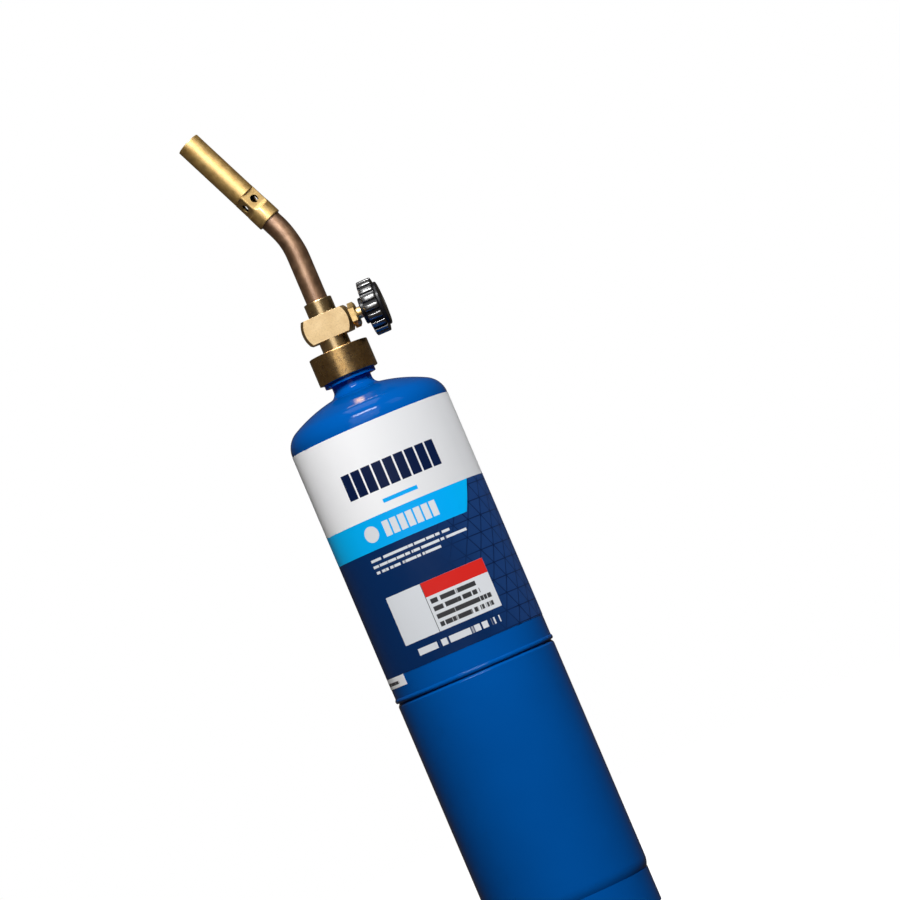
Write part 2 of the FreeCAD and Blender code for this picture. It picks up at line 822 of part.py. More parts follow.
def make_flame_holder():
    plate = ring("flame_holder", "holder_hole", "burner_radius - burner_wall", "0", "holder_thick")
    doc.recompute()
    sketch = sketch_on(plate, "holder_port_outline", "XY_Plane")
    centre = Vector(value("port_offset"), 0, 0)
    circle = sketch.addGeometry(Part.Circle(centre, Vector(0, 0, 1), value("port_radius")))
    tie_point(sketch, (circle, 3), ("port_offset", "0"))
    radius = sketch.addConstraint(Sketcher.Constraint("Radius", circle, value("port_radius")))
    sketch.setExpression(f"Constraints[{radius}]", bound("port_radius"))
    port = plate.newObject("PartDesign::Pocket", "holder_port")
    port.Profile = sketch
    port.Type = "ThroughAll"
    port.Reversed = True
    repeat(plate, port, "port_count")
    sketch.Visibility = False
    return on_burner(plate, "burner_end - holder_from_end")


# ---- make every sub-part, check it and write it ----

MAKERS = {
    "foot_ring": make_foot_ring,
    "lower_shell": make_lower_shell,
    "upper_shell": make_upper_shell,
    "label_wrap": make_label_wrap,
    "label_strip": make_label_strip,
    "neck_boss": make_neck_boss,
    "tank_valve_core": make_tank_valve_core,
    "tank_valve_pin": make_tank_valve_pin,
    "tank_valve_seal": make_tank_valve_seal,
    "tank_valve_spring": make_tank_valve_spring,
    "relief_poppet": make_relief_poppet,
    "relief_spring": make_relief_spring,
    "relief_retainer": make_relief_retainer,
    "inlet_coupling": make_inlet_coupling,
    "inlet_seal": make_inlet_seal,
    "inlet_probe": make_inlet_probe,
    "inlet_filter": make_inlet_filter,
    "valve_body": make_valve_body,
    "needle_stem": make_needle_stem,
    "stem_o_ring": make_stem_o_ring,
    "packing_nut": make_packing_nut,
    "control_knob": make_control_knob,
    "knob_screw": make_knob_screw,
    "stem_tube": make_stem_tube,
    "gas_orifice": make_gas_orifice,
    "mixer_body": make_mixer_body,
    "burn_tube": make_burn_tube,
    "flame_holder": make_flame_holder,
}

for label, maker in MAKERS.items():
    node(maker(), label)
doc.recompute()

faults = [thing.Name for thing in doc.Objects if {"Invalid", "Error"} & set(thing.State)]
for part in nodes:
    if part.Shape.isNull() or not part.Shape.isValid() or not part.Shape.Solids:
        faults.append(part.Label)
if faults:
    raise RuntimeError(f"these objects failed: {sorted(set(faults))}")

os.makedirs("parts", exist_ok=True)
for part in nodes:
    part.Shape.exportStep(f"parts/{part.Label}.step")
    box = part.Shape.BoundBox
    print(f"{part.Label:18s} {len(part.Shape.Solids)} solid, {part.Shape.Volume:10.1f} mm3, "
          f"x {box.XMin:.2f} {box.XMax:.2f}, y {box.YMin:.2f} {box.YMax:.2f}, z {box.ZMin:.2f} {box.ZMax:.2f}")
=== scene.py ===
import math

import bmesh
import bpy
from mathutils import Matrix, Vector


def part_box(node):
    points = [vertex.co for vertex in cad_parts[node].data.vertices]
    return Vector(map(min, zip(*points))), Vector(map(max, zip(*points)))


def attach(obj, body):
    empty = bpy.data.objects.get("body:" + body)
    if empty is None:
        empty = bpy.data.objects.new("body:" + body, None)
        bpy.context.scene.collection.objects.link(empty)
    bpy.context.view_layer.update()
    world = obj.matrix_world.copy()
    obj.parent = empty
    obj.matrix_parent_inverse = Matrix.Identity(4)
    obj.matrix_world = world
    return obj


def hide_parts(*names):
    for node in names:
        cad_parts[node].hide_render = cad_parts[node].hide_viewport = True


# A propane torch: blue steel cylinder, printed wrap, and a brass head with a black knob and a pencil burner.
# Everything is in metres in the part's own frame; MM turns drawing sizes into metres.

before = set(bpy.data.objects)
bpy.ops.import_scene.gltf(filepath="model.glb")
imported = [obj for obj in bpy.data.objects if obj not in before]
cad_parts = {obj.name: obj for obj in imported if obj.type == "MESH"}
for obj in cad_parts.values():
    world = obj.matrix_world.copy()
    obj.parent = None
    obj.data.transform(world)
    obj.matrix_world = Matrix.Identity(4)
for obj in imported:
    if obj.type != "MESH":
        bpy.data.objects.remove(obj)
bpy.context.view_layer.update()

MM = 0.001
FULL_TURN = 2 * math.pi


# ---------------- camera

VIEW_AZIMUTH = math.radians(5)
CAMERA_DISTANCE = 2.05
CAMERA_HEIGHT = 0.148
CAMERA_LENS = 184.87
CAMERA_ROLL = math.radians(23.11)
AIM_RIGHT = 0.02828
AIM_HEIGHT = 0.21926


def make_camera():
    """A long lens a little to the knob's side, rolled so that the torch leans left in the picture."""
    away = Vector((math.sin(VIEW_AZIMUTH), -math.cos(VIEW_AZIMUTH), 0))
    right = Vector((math.cos(VIEW_AZIMUTH), math.sin(VIEW_AZIMUTH), 0))
    place = away * CAMERA_DISTANCE + Vector((0, 0, CAMERA_HEIGHT))
    aim = right * AIM_RIGHT + Vector((0, 0, AIM_HEIGHT))
    data = bpy.data.cameras.new("camera")
    data.lens = CAMERA_LENS
    data.sensor_width = 36
    data.clip_start = 0.05
    data.clip_end = 50
    camera = bpy.data.objects.new("camera", data)
    look = (aim - place).to_track_quat("-Z", "Y").to_matrix().to_4x4()
    camera.matrix_world = Matrix.Translation(place) @ look @ Matrix.Rotation(-CAMERA_ROLL, 4, "Z")
    bpy.context.scene.collection.objects.link(camera)
    bpy.context.scene.camera = camera


make_camera()


# ---------------- sizes, read from the frame

body_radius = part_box("lower_shell")[1].x
lap_top_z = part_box("lower_shell")[1].z
seam_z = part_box("upper_shell")[0].z
neck_top_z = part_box("upper_shell")[1].z
foot_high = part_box("foot_ring")[1]
label_low, label_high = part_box("label_wrap")
boss_low, boss_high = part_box("neck_boss")
coupling_low, coupling_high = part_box("inlet_coupling")
valve_low, valve_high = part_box("valve_body")
nut_low, nut_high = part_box("packing_nut")
knob_low, knob_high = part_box("control_knob")
tube_bottom_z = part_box("stem_tube")[0].z
valve_z = (knob_low.z + knob_high.z) / 2

SHELL_WALL = 0.9 * MM
CROWN_RADIUS = 68 * MM
KNUCKLE_RADIUS = 10.5 * MM
BASE_WALL_Z = 20.8 * MM
SHOULDER_Z = 243.6 * MM
NECK_RADIUS = 9.25 * MM
NECK_FLARE = 3.4 * MM
BEND_ANGLE = math.radians(24)
BEND_RADIUS = 42 * MM
BEND_Z = 324.1 * MM
BEND_TO_COLLAR = 4 * MM
TUBE_RADIUS = 5 * MM
TUBE_WALL = 0.9 * MM
TUBE_SOCKET = 5 * MM
COLLAR_LENGTH = 7 * MM
COLLAR_RADIUS = 5.95 * MM
WAIST_TOP = 15.5 * MM
BURNER_RADIUS = 5.75 * MM
BURNER_END = 50.1 * MM
BURNER_WALL = 0.8 * MM
THREAD_PITCH = 1.27 * MM

# The gland, measured from the valve's centre along the knob's axis.
GLAND_RADIUS = 3.9 * MM
GLAND_SEAT = 8.2 * MM
GLAND_FACE = 11.45 * MM

AXIS_X = Matrix.Translation((0, 0, valve_z)) @ Matrix.Rotation(math.radians(90), 4, "Y")
BURNER_X = -BEND_RADIUS * (1 - math.cos(BEND_ANGLE)) - BEND_TO_COLLAR * math.sin(BEND_ANGLE)
BURNER_Z = BEND_Z + BEND_RADIUS * math.sin(BEND_ANGLE) + BEND_TO_COLLAR * math.cos(BEND_ANGLE)
AXIS_BURNER = Matrix.Translation((BURNER_X, 0, BURNER_Z)) @ Matrix.Rotation(-BEND_ANGLE, 4, "Y")


# ---------------- mesh helpers

SHELL_COLUMNS = 224
SPARE_REACH = 0.03


def rounded(corners, steps=4):
    """An outline of (radius, height) corners, where a third number rounds its corner by about that much.

    A spare point beside each rounding keeps the flat surfaces next to it evenly shaded."""
    points = []
    for number, corner in enumerate(corners):
        here = Vector(corner[:2])
        if len(corner) < 3:
            points.append(tuple(here))
            continue
        before = Vector(corners[number - 1][:2])
        after = Vector(corners[(number + 1) % len(corners)][:2])
        reach = min(corner[2], 0.48 * (before - here).length, 0.48 * (after - here).length)
        start = here + (before - here).normalized() * reach
        end = here + (after - here).normalized() * reach
        points.append(tuple(start + (start - here) * SPARE_REACH))
        for step in range(steps + 1):
            t = step / steps
            points.append(tuple(start * (1 - t) ** 2 + here * 2 * t * (1 - t) + end * t**2))
        points.append(tuple(end + (end - here) * SPARE_REACH))
    return points


def arc(centre, radius, start, end, steps):
    """Points on a circle in the (radius, height) plane, angles in radians."""
    sweep = (end - start) / steps
    return [
        (centre[0] + radius * math.cos(start + sweep * n), centre[1] + radius * math.sin(start + sweep * n))
        for n in range(steps + 1)
    ]


def polar(point, angle):
    """A point of an outline turned to an angle about Z."""
    return Vector((point[0] * math.cos(angle), point[0] * math.sin(angle), point[1]))


def flattened(point, direction, limit):
    """The point pushed back onto a plane across direction, where it stands beyond limit."""
    beyond = point.dot(direction) - limit
    return point - direction * beyond if beyond > 0 else point


def lathe(outline, columns=160, shape=polar):
    """A closed surface turned about Z. columns is a count or a list of angles.

    shape gives each point, so it can add flats, ribs or a thread. A flat end at the axis is one face."""
    angles = columns if isinstance(columns, list) else [FULL_TURN * n / columns for n in range(columns)]
    mesh = bmesh.new()
    rings = []
    for point in outline:
        if point[0] < 1e-7:
            rings.append([mesh.verts.new((0, 0, point[1]))] * len(angles))
        else:
            rings.append([mesh.verts.new(shape(point, angle)) for angle in angles])
    for number, ring in enumerate(rings):
        after = (number + 1) % len(rings)
        following = rings[after]
        level = outline[number][1] == outline[after][1]
        if level and ring[0] is ring[1]:
            mesh.faces.new(following)
            continue
        if level and following[0] is following[1]:
            mesh.faces.new(ring)
            continue
        for column in range(len(angles)):
            other = (column + 1) % len(angles)
            corners = dict.fromkeys((ring[column], ring[other], following[other], following[column]))
            if len(corners) > 2:
                mesh.faces.new(corners)
    return mesh


def rod(radius, low, high, columns):
    """A plain round bar about Z."""
    return lathe([(0, low), (radius, low), (radius, high), (0, high)], columns)


def moved(mesh, matrix):
    """The mesh after a move, turn or stretch."""
    bmesh.ops.transform(mesh, matrix=matrix, verts=mesh.verts)
    return mesh


def as_object(name, mesh):
    """A scene object from a mesh, once what touches is joined and every face looks outwards."""
    bmesh.ops.remove_doubles(mesh, verts=mesh.verts, dist=1e-7)
    bmesh.ops.dissolve_degenerate(mesh, edges=mesh.edges, dist=1e-8)
    bmesh.ops.recalc_face_normals(mesh, faces=mesh.faces)
    data = bpy.data.meshes.new(name)
    mesh.to_mesh(data)
    mesh.free()
    thing = bpy.data.objects.new(name, data)
    bpy.context.scene.collection.objects.link(thing)
    return thing


def combined(base, steps, bevel=0.0):
    """The base after each (operation, mesh) step in turn, with its edges then eased by bevel."""
    thing = as_object("blank", base)
    tools = []
    for operation, mesh in steps:
        tool = as_object("tool", mesh)
        tools.append(tool)
        boolean = thing.modifiers.new("shape", "BOOLEAN")
        boolean.operation = operation
        boolean.object = tool
        boolean.solver = "EXACT"
    if bevel:
        ease = thing.modifiers.new("ease", "BEVEL")
        ease.width = bevel
        ease.segments = 2
        ease.limit_method = "ANGLE"
        ease.angle_limit = math.radians(35)
    graph = bpy.context.evaluated_depsgraph_get()
    graph.update()
    data = bpy.data.meshes.new_from_object(thing.evaluated_get(graph))
    result = bmesh.new()
    result.from_mesh(data)
    for spent in [thing, *tools]:
        bpy.data.objects.remove(spent)
    return result


def piece(name, mesh, body, material, stands_for, sharp=32, flat_area=None):
    """Adds a finished piece that moves with a body and stands for CAD nodes.

    Edges over sharp degrees stay crisp, and faces over flat_area stay flat."""
    thing = as_object(name, mesh)
    thing.data.shade_smooth()
    thing.data.set_sharp_from_angle(angle=math.radians(sharp))
    for face in thing.data.polygons:
        if flat_area and face.area > flat_area:
            face.use_smooth = False
    thing.data.materials.clear()
    thing.data.materials.append(material)
    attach(thing, body)
    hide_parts(*stands_for)
    return thing


# ---------------- material helpers


class Shader:
    """A principled material built from procedural textures in the object's own space."""

    def __init__(self, name, place=None):
        self.material = bpy.data.materials.new(name)
        self.material.use_nodes = True
        self.tree = self.material.node_tree
        self.surface = self.tree.nodes["Principled BSDF"]
        self.space = self.node("ShaderNodeTexCoord").outputs["Object"]
        if place is not None:
            turned = self.node("ShaderNodeMapping")
            back = place.inverted()
            turned.inputs["Location"].default_value = back.to_translation()
            turned.inputs["Rotation"].default_value = back.to_euler()
            self.link(self.space, turned.inputs["Vector"])
            self.space = turned.outputs["Vector"]

    def node(self, kind, **settings):
        made = self.tree.nodes.new(kind)
        for name, value in settings.items():
            setattr(made, name, value)
        return made

    def link(self, source, target):
        """Feeds a socket from another socket or a plain value."""
        if isinstance(source, bpy.types.NodeSocket):
            self.tree.links.new(source, target)
        else:
            target.default_value = source

    def math(self, operation, first, second=0.0, third=0.0, clamp=False):
        made = self.node("ShaderNodeMath", operation=operation, use_clamp=clamp)
        for source, target in zip((first, second, third), made.inputs):
            self.link(source, target)
        return made.outputs[0]

    def stretched(self, scale):
        """The material's space with a scale of its own on each axis."""
        made = self.node("ShaderNodeMapping")
        made.inputs["Scale"].default_value = scale
        self.link(self.space, made.inputs["Vector"])
        return made.outputs["Vector"]

    def noise(self, scale, detail=4.0, rough=0.55, space=None):
        made = self.node("ShaderNodeTexNoise")
        self.link(space or self.space, made.inputs["Vector"])
        made.inputs["Scale"].default_value = scale
        made.inputs["Detail"].default_value = detail
        made.inputs["Roughness"].default_value = rough
        return made.outputs["Fac"]

    def ramp(self, factor, *stops):
        """Colour from (position, colour) stops."""
        made = self.node("ShaderNodeValToRGB")
        elements = made.color_ramp.elements
        while len(elements) < len(stops):
            elements.new(0.5)
        for element, (position, colour) in zip(elements, stops):
            element.position = position
            element.color = (*colour, 1)
        self.link(factor, made.inputs["Fac"])
        return made.outputs["Color"]

    def range(self, factor, low, high, to_low=0.0, to_high=1.0):
        made = self.node("ShaderNodeMapRange")
        names = ("Value", "From Min", "From Max", "To Min", "To Max")
        for name, source in zip(names, (factor, low, high, to_low, to_high)):
            self.link(source, made.inputs[name])
        return made.outputs["Result"]

    def mix(self, factor, first, second):
        """first where factor is 0, second where it is 1."""
        made = self.node("ShaderNodeMix", data_type="RGBA")
        self.link(factor, made.inputs["Factor"])
        colours = [socket for socket in made.inputs if socket.type == "RGBA"]
        for source, target in zip((first, second), colours):
            self.link(source if isinstance(source, bpy.types.NodeSocket) else (*source, 1), target)
        return [socket for socket in made.outputs if socket.type == "RGBA"][0]

    def reach(self, centre, across):
        """Distance from a point, line or plane at centre; across is 0 along it and 1 the other ways."""
        centred = self.node("ShaderNodeVectorMath", operation="SUBTRACT")
        self.link(self.space, centred.inputs[0])
        centred.inputs[1].default_value = centre
        sideways = self.node("ShaderNodeVectorMath", operation="MULTIPLY")
        self.link(centred.outputs[0], sideways.inputs[0])
        sideways.inputs[1].default_value = across
        apart = self.node("ShaderNodeVectorMath", operation="LENGTH")
        self.link(sideways.outputs[0], apart.inputs[0])
        return apart.outputs["Value"]

    def bump(self, height, strength, distance, below=None):
        made = self.node("ShaderNodeBump")
        made.inputs["Strength"].default_value = strength
        made.inputs["Distance"].default_value = distance
        self.link(height, made.inputs["Height"])
        if below is not None:
            self.link(below, made.inputs["Normal"])
        return made.outputs["Normal"]

    def set(self, **values):
        """Sets the surface's inputs, with _ for each space in their names, and gives the material."""
        for name, source in values.items():
            self.link(source, self.surface.inputs[name.replace("_", " ")])
        return self.material


def make_paint():
    """Gloss blue enamel with a faint orange peel, drifts of tone and fine handling marks."""
    paint = Shader("blue_enamel")
    drift = paint.noise(14, 3)
    colour = paint.ramp(drift, (0.3, (0.000, 0.091, 0.396)), (0.7, (0.000, 0.104, 0.448)))
    peel = paint.bump(paint.noise(420, 2), 0.05, 0.2 * MM)
    marks = paint.noise(1.0, 6, 0.7, paint.stretched((900, 900, 60)))
    rough = paint.range(marks, 0.35, 0.75, 0.07, 0.15)
    return paint.set(Base_Color=colour, Roughness=rough, Normal=peel, Specular_IOR_Level=0.10)


BRASS_TONES = ((0.32, (0.68, 0.410, 0.115)), (0.5, (0.82, 0.540, 0.175)), (0.72, (0.89, 0.620, 0.235)))
BRASS_AGE = (0.34, 0.18, 0.055)
BORE_BLACK = (0.018, 0.010, 0.006)
BORE_BLACK_EDGE = 0.15 * MM


def make_brass(name, place=None, lathe_marks=0.12, mottle=0.25, rough=(0.34, 0.46), dark=BRASS_AGE,
               tint=(1, 1, 1), black_bore_radius=None, coat_ior=1.9):
    """Machined brass: turning lines round its axis, age spots, uneven shine, and near black without coat
    closer to its axis than a given radius.
    """
    brass = Shader(name, place)
    blotch = brass.noise(260, 6, 0.62)
    spots = brass.noise(900, 5, 0.6)
    colour = brass.ramp(blotch, *((stop, [a * b for a, b in zip(tone, tint)]) for stop, tone in BRASS_TONES))
    age = brass.range(spots, 0.50, 0.70, 0.0, mottle)
    lines = brass.noise(1.0, 3, 0.5, brass.stretched((60, 60, 9000)))
    pits = brass.bump(spots, 0.05 + 0.3 * mottle, 0.06 * MM)
    normal = brass.bump(lines, lathe_marks, 0.02 * MM, pits)
    shine = brass.range(brass.noise(340, 5), 0.3, 0.7, *rough)
    colour = brass.mix(age, colour, dark)
    coat = 1.0
    # Every surface inside the given radius of the axis, the bore and what sits in it, is made near black
    # without coat.
    if black_bore_radius is not None:
        coat = brass.range(brass.reach((0, 0, 0), (1, 1, 0)), black_bore_radius - BORE_BLACK_EDGE, black_bore_radius)
        colour = brass.mix(coat, BORE_BLACK, colour)
    return brass.set(Base_Color=colour, Metallic=1.0, Roughness=shine, Normal=normal,
                     Coat_Weight=coat, Coat_IOR=coat_ior, Coat_Roughness=0.32)


def make_brushed_brass():
    """The valve body's milled brass, brushed any way across its flat faces, and smoother on the turned neck
    and collar above and below them.
    """
    face_height = 5.76 * MM
    neck_height = 5.85 * MM
    stained = (0.56, 0.33, 0.13)
    grained = (0.50, 0.30, 0.12)
    brass = Shader("milled_brass")
    blotch = brass.noise(180, 5, 0.6)
    colour = brass.ramp(
        blotch, (0.3, (0.64, 0.42, 0.155)), (0.55, (0.74, 0.51, 0.215)), (0.75, (0.80, 0.58, 0.27)),
    )
    along = brass.noise(1.0, 4, 0.6, brass.stretched((260, 900, 2600)))
    across = brass.noise(1.0, 4, 0.6, brass.stretched((2200, 900, 420)))
    normal = brass.bump(across, 0.10, 0.04 * MM, brass.bump(along, 0.16, 0.04 * MM))
    faced = brass.range(brass.reach((0, 0, valve_z), (0, 0, 1)), face_height, neck_height, 1.0, 0.0)
    dull = brass.range(faced, 0, 1, 0.22, 0.30)
    shine = brass.math("MULTIPLY_ADD", brass.noise(300, 5), 0.14, dull)
    stain = brass.range(brass.noise(120, 6, 0.65), 0.55, 0.8, 0.0, 0.35)
    grain = brass.range(brass.noise(1500, 3, 0.6), 0.50, 0.70, 0.0, 0.55)
    colour = brass.mix(grain, brass.mix(stain, colour, stained), grained)
    return brass.set(Base_Color=colour, Metallic=1.0, Roughness=shine, Normal=normal,
                     Coat_Weight=1.0, Coat_IOR=2.0, Coat_Roughness=0.25)


def make_tarnish():
    """Brass tube that brazing heat has turned a mottled red-brown."""
    tube = Shader("heat_tarnished_brass")
    clouds = tube.noise(150, 6, 0.65)
    colour = tube.ramp(
        clouds, (0.28, (0.270, 0.138, 0.072)), (0.48, (0.420, 0.235, 0.132)), (0.66, (0.580, 0.350, 0.205)),
        (0.82, (0.700, 0.470, 0.270)),
    )
    grain = tube.noise(1500, 4)
    normal = tube.bump(grain, 0.34, 0.05 * MM)
    shine = tube.range(tube.noise(420, 5), 0.3, 0.7, 0.40, 0.52)
    return tube.set(Base_Color=colour, Metallic=1.0, Roughness=shine, Normal=normal,
                    Coat_Weight=1.0, Coat_IOR=1.8, Coat_Roughness=0.30)


def make_knob_plastic():
    """Black moulded plastic, dull between its ribs and rubbed bright on top of them."""
    rib_worn_from = 12.2 * MM
    rib_worn_to = 12.5 * MM
    plastic = Shader("black_plastic")
    handled = plastic.noise(300, 5, 0.6)
    colour = plastic.ramp(handled, (0.3, (0.005, 0.005, 0.007)), (0.75, (0.013, 0.013, 0.016)))
    rubbed = plastic.range(plastic.reach((0, 0, valve_z), (0, 1, 1)), rib_worn_from, rib_worn_to)
    shine = plastic.range(handled, 0.35, 0.7, 0.24, 0.36)
    normal = plastic.bump(plastic.noise(2500, 2), 0.06, 0.03 * MM)
    return plastic.set(Base_Color=colour, Roughness=shine, Normal=normal, Specular_IOR_Level=0.25,
                       Coat_Weight=rubbed, Coat_IOR=2.6, Coat_Roughness=0.22)


def make_rubber():
    """Black seal rubber with a dry bloom."""
    rubber = Shader("seal_rubber")
    bloom = rubber.noise(900, 5)
    colour = rubber.ramp(bloom, (0.35, (0.010, 0.010, 0.010)), (0.75, (0.034, 0.033, 0.031)))
    return rubber.set(Base_Color=colour, Roughness=rubber.range(bloom, 0.3, 0.7, 0.6, 0.85),
                      Normal=rubber.bump(bloom, 0.2, 0.05 * MM))


def make_steel():
    """Zinc-plated steel wire and fasteners."""
    steel = Shader("zinc_steel")
    spangle = steel.noise(1200, 5)
    colour = steel.ramp(spangle, (0.3, (0.46, 0.46, 0.45)), (0.7, (0.66, 0.66, 0.64)))
    return steel.set(Base_Color=colour, Metallic=1.0, Roughness=steel.range(spangle, 0.3, 0.7, 0.24, 0.42),
                     Normal=steel.bump(spangle, 0.1, 0.03 * MM))


def make_sinter():
    """Grains of bronze pressed and baked into a filter."""
    sinter = Shader("sintered_bronze")
    grains = sinter.node("ShaderNodeTexVoronoi")
    sinter.link(sinter.space, grains.inputs["Vector"])
    grains.inputs["Scale"].default_value = 5000
    depth = grains.outputs["Distance"]
    colour = sinter.ramp(depth, (0.1, (0.52, 0.33, 0.15)), (0.6, (0.20, 0.11, 0.05)))
    return sinter.set(Base_Color=colour, Metallic=1.0, Roughness=sinter.range(depth, 0, 1, 0.45, 0.7),
                      Normal=sinter.bump(depth, 0.6, 0.1 * MM))


# ---------------- printed film

DEGREE = body_radius / MM * math.pi / 180
EDGE_BLUR = 0.12
DASH_BLUR = 0.04
LINE_BLUR = 0.10


class Print(Shader):
    """Printed film on the cylinder: u runs round it from the front and v up it, both in millimetres.

    Fields are given as left and right in degrees from the front, and low and high in millimetres."""

    def __init__(self, name):
        super().__init__(name)
        apart = self.node("ShaderNodeSeparateXYZ")
        self.link(self.space, apart.inputs["Vector"])
        x, y, z = apart.outputs
        angle = self.math("ARCTAN2", x, self.math("MULTIPLY", y, -1.0))
        angle = self.math("SUBTRACT", angle, VIEW_AZIMUTH)
        self.u = self.math("MULTIPLY", angle, body_radius / MM)
        self.v = self.math("MULTIPLY", z, 1 / MM)

    def inside(self, distance, blur=EDGE_BLUR):
        """1 where distance is positive, softened over blur."""
        return self.math("MULTIPLY_ADD", distance, 1 / blur, 0.5, clamp=True)

    def over(self, value, limit, blur=EDGE_BLUR):
        """1 where value is more than limit."""
        return self.inside(self.math("SUBTRACT", value, limit), blur)

    def under(self, value, limit, blur=EDGE_BLUR):
        """1 where value is less than limit."""
        return self.inside(self.math("SUBTRACT", limit, value), blur)

    def band(self, value, low, high):
        """1 between low and high."""
        nearer = self.math("MINIMUM", self.math("SUBTRACT", value, low), self.math("SUBTRACT", high, value))
        return self.inside(nearer)

    def both(self, first, second):
        return self.math("MULTIPLY", first, second)

    def box(self, left, right, low, high):
        """A plain rectangle."""
        return self.both(self.band(self.u, left * DEGREE, right * DEGREE), self.band(self.v, low, high))

    def row(self, left, right, low, high, pitch, gap):
        """A row of equal upright blocks."""
        along = self.math("WRAP", self.math("SUBTRACT", self.u, left * DEGREE), pitch, 0.0)
        block = self.band(along, 0.0, pitch - gap)
        return self.both(block, self.box(left, right, low, high))

    def dashes(self, left, right, low, high, length=2.2, blank=0.42):
        """A line of uneven dashes that stands for small print."""
        cell = self.node("ShaderNodeCombineXYZ")
        self.link(self.math("MULTIPLY", self.u, 1 / length), cell.inputs["X"])
        cell.inputs["Y"].default_value = low
        beat = self.noise(1.0, 1, 0.5, cell.outputs["Vector"])
        return self.both(self.over(beat, blank, DASH_BLUR), self.box(left, right, low, high))

    def lines(self, value, pitch, width):
        """Thin lines every pitch along value."""
        beat = self.math("PINGPONG", value, pitch / 2)
        return self.under(beat, width / 2, LINE_BLUR)


WHITE_INK = (0.80, 0.82, 0.85)
PAPER = (0.95, 0.95, 0.96)
# SHADED_PAPER is painted shade: the white field greys to it from PAPER_LIT to PAPER_SHADED round its right
# side.
SHADED_PAPER = (0.70, 0.71, 0.73)
NAVY_INK = (0.003, 0.012, 0.062)
DEEP_BLUE = (0.002, 0.028, 0.125)
SLATE_BLUE = (0.012, 0.050, 0.185)
LATTICE_BLUE = (0.001, 0.010, 0.052)
CYAN_INK = (0.000, 0.490, 0.950)
RED_INK = (0.780, 0.028, 0.022)
GREY_INK = (0.055, 0.055, 0.060)

PAPER_LIT = -16 * DEGREE
PAPER_SHADED = 56 * DEGREE
CYAN_LOW = 190.6
CYAN_HIGH = 204.2
CYAN_END_LOW = 40.1 * DEGREE
CYAN_END_HIGH = 52.7 * DEGREE
LATTICE_ROW = 7.2
LATTICE_LINE = 0.42
LATTICE_LEAN = 0.18
LATTICE_START = 36.0
LATTICE_FULL = 57.0

# Fields of the wrap: left, right, low, high.
TOP_BLOCKS = (-34, 37, 214.2, 226.0)
TOP_BAR = (-12, 13, 208.0, 209.8)
CYAN_BLOCKS = (-19, 20.5, 194.0, 201.0)
PANEL = (-38.8, 36.2, 146.9, 169.5)
PANEL_HEAD = (-11, 36.2, 162.9, 169.5)
PANEL_RULE = (-11.4, -11, 146.9, 169.5)
LAST_LINE = (-31, 31, 140.6, 143.6)
DISC_U = -29 * DEGREE
DISC_V = 197.5
DISC_RADIUS = 3.65

# Lines of dashes: left edge, the right edge of each line, top line's foot, spacing and height.
SMALL_PRINT = (-38, (22, 34, 12), 185.9, 2.75, 1.2)
PANEL_PRINT = (-9, (24, 25, 32, 31), 159.4, 3.6, 2.1)

BACK_START = 95.0 * DEGREE
BACK_MARGIN = 4
BACK_PRINT = (147.0, 196.0)
BACK_ROW = 3.6
BACK_ROW_INK = (0.9, 2.3)

STRIP_DASHES = (132.9, 134.3)
STRIP_PRINT_START = 60 * DEGREE
ALL_ROUND = 200


def lattice(film):
    """Thin equilateral triangles, from three sets of parallel lines."""
    slope = math.radians(60)
    found = film.lines(film.v, LATTICE_ROW, LATTICE_LINE)
    for side in (-1, 1):
        across = film.math("MULTIPLY", film.u, math.sin(slope) * side)
        tilted = film.math("MULTIPLY_ADD", film.v, math.cos(slope), across)
        found = film.math("MAXIMUM", found, film.lines(tilted, LATTICE_ROW, LATTICE_LINE))
    return found


def print_fields(film, ground):
    """The dark and cyan fields, with the white one above them, greyed towards its right side as painted
    shade.
    """
    u, v = film.u, film.v
    fade = film.range(film.math("MULTIPLY_ADD", v, LATTICE_LEAN, u), LATTICE_START, LATTICE_FULL)
    ground = film.mix(fade, ground, SLATE_BLUE)
    ground = film.mix(film.both(lattice(film), fade), ground, LATTICE_BLUE)
    slant = film.range(v, CYAN_LOW, CYAN_HIGH, CYAN_END_LOW, CYAN_END_HIGH)
    ground = film.mix(film.both(film.band(v, CYAN_LOW, CYAN_HIGH), film.under(u, slant)), ground, CYAN_INK)
    # Painted shade: the white field greys from PAPER towards SHADED_PAPER round its right side.
    paper = film.mix(film.range(u, PAPER_LIT, PAPER_SHADED), PAPER, SHADED_PAPER)
    return film.mix(film.over(v, CYAN_HIGH), ground, paper)


def print_blocks(film, ground):
    """Plain blocks, a bar and a disc where a real label has its large print."""
    ground = film.mix(film.row(*TOP_BLOCKS, pitch=5.2, gap=0.8), ground, NAVY_INK)
    ground = film.mix(film.box(*TOP_BAR), ground, CYAN_INK)
    apart = film.math("POWER", film.math("SUBTRACT", film.u, DISC_U), 2.0)
    height = film.math("POWER", film.math("SUBTRACT", film.v, DISC_V), 2.0)
    spread = film.math("SQRT", film.math("ADD", apart, height))
    ground = film.mix(film.under(spread, DISC_RADIUS), ground, WHITE_INK)
    return film.mix(film.row(*CYAN_BLOCKS, pitch=3.75, gap=0.8), ground, WHITE_INK)


def print_dashes(film, ground, lines, ink, **look):
    """Lines of dashes, one below the other."""
    left, rights, top, spacing, height = lines
    for number, right in enumerate(rights):
        low = top - spacing * number
        ground = film.mix(film.dashes(left, right, low, low + height, **look), ground, ink)
    return ground


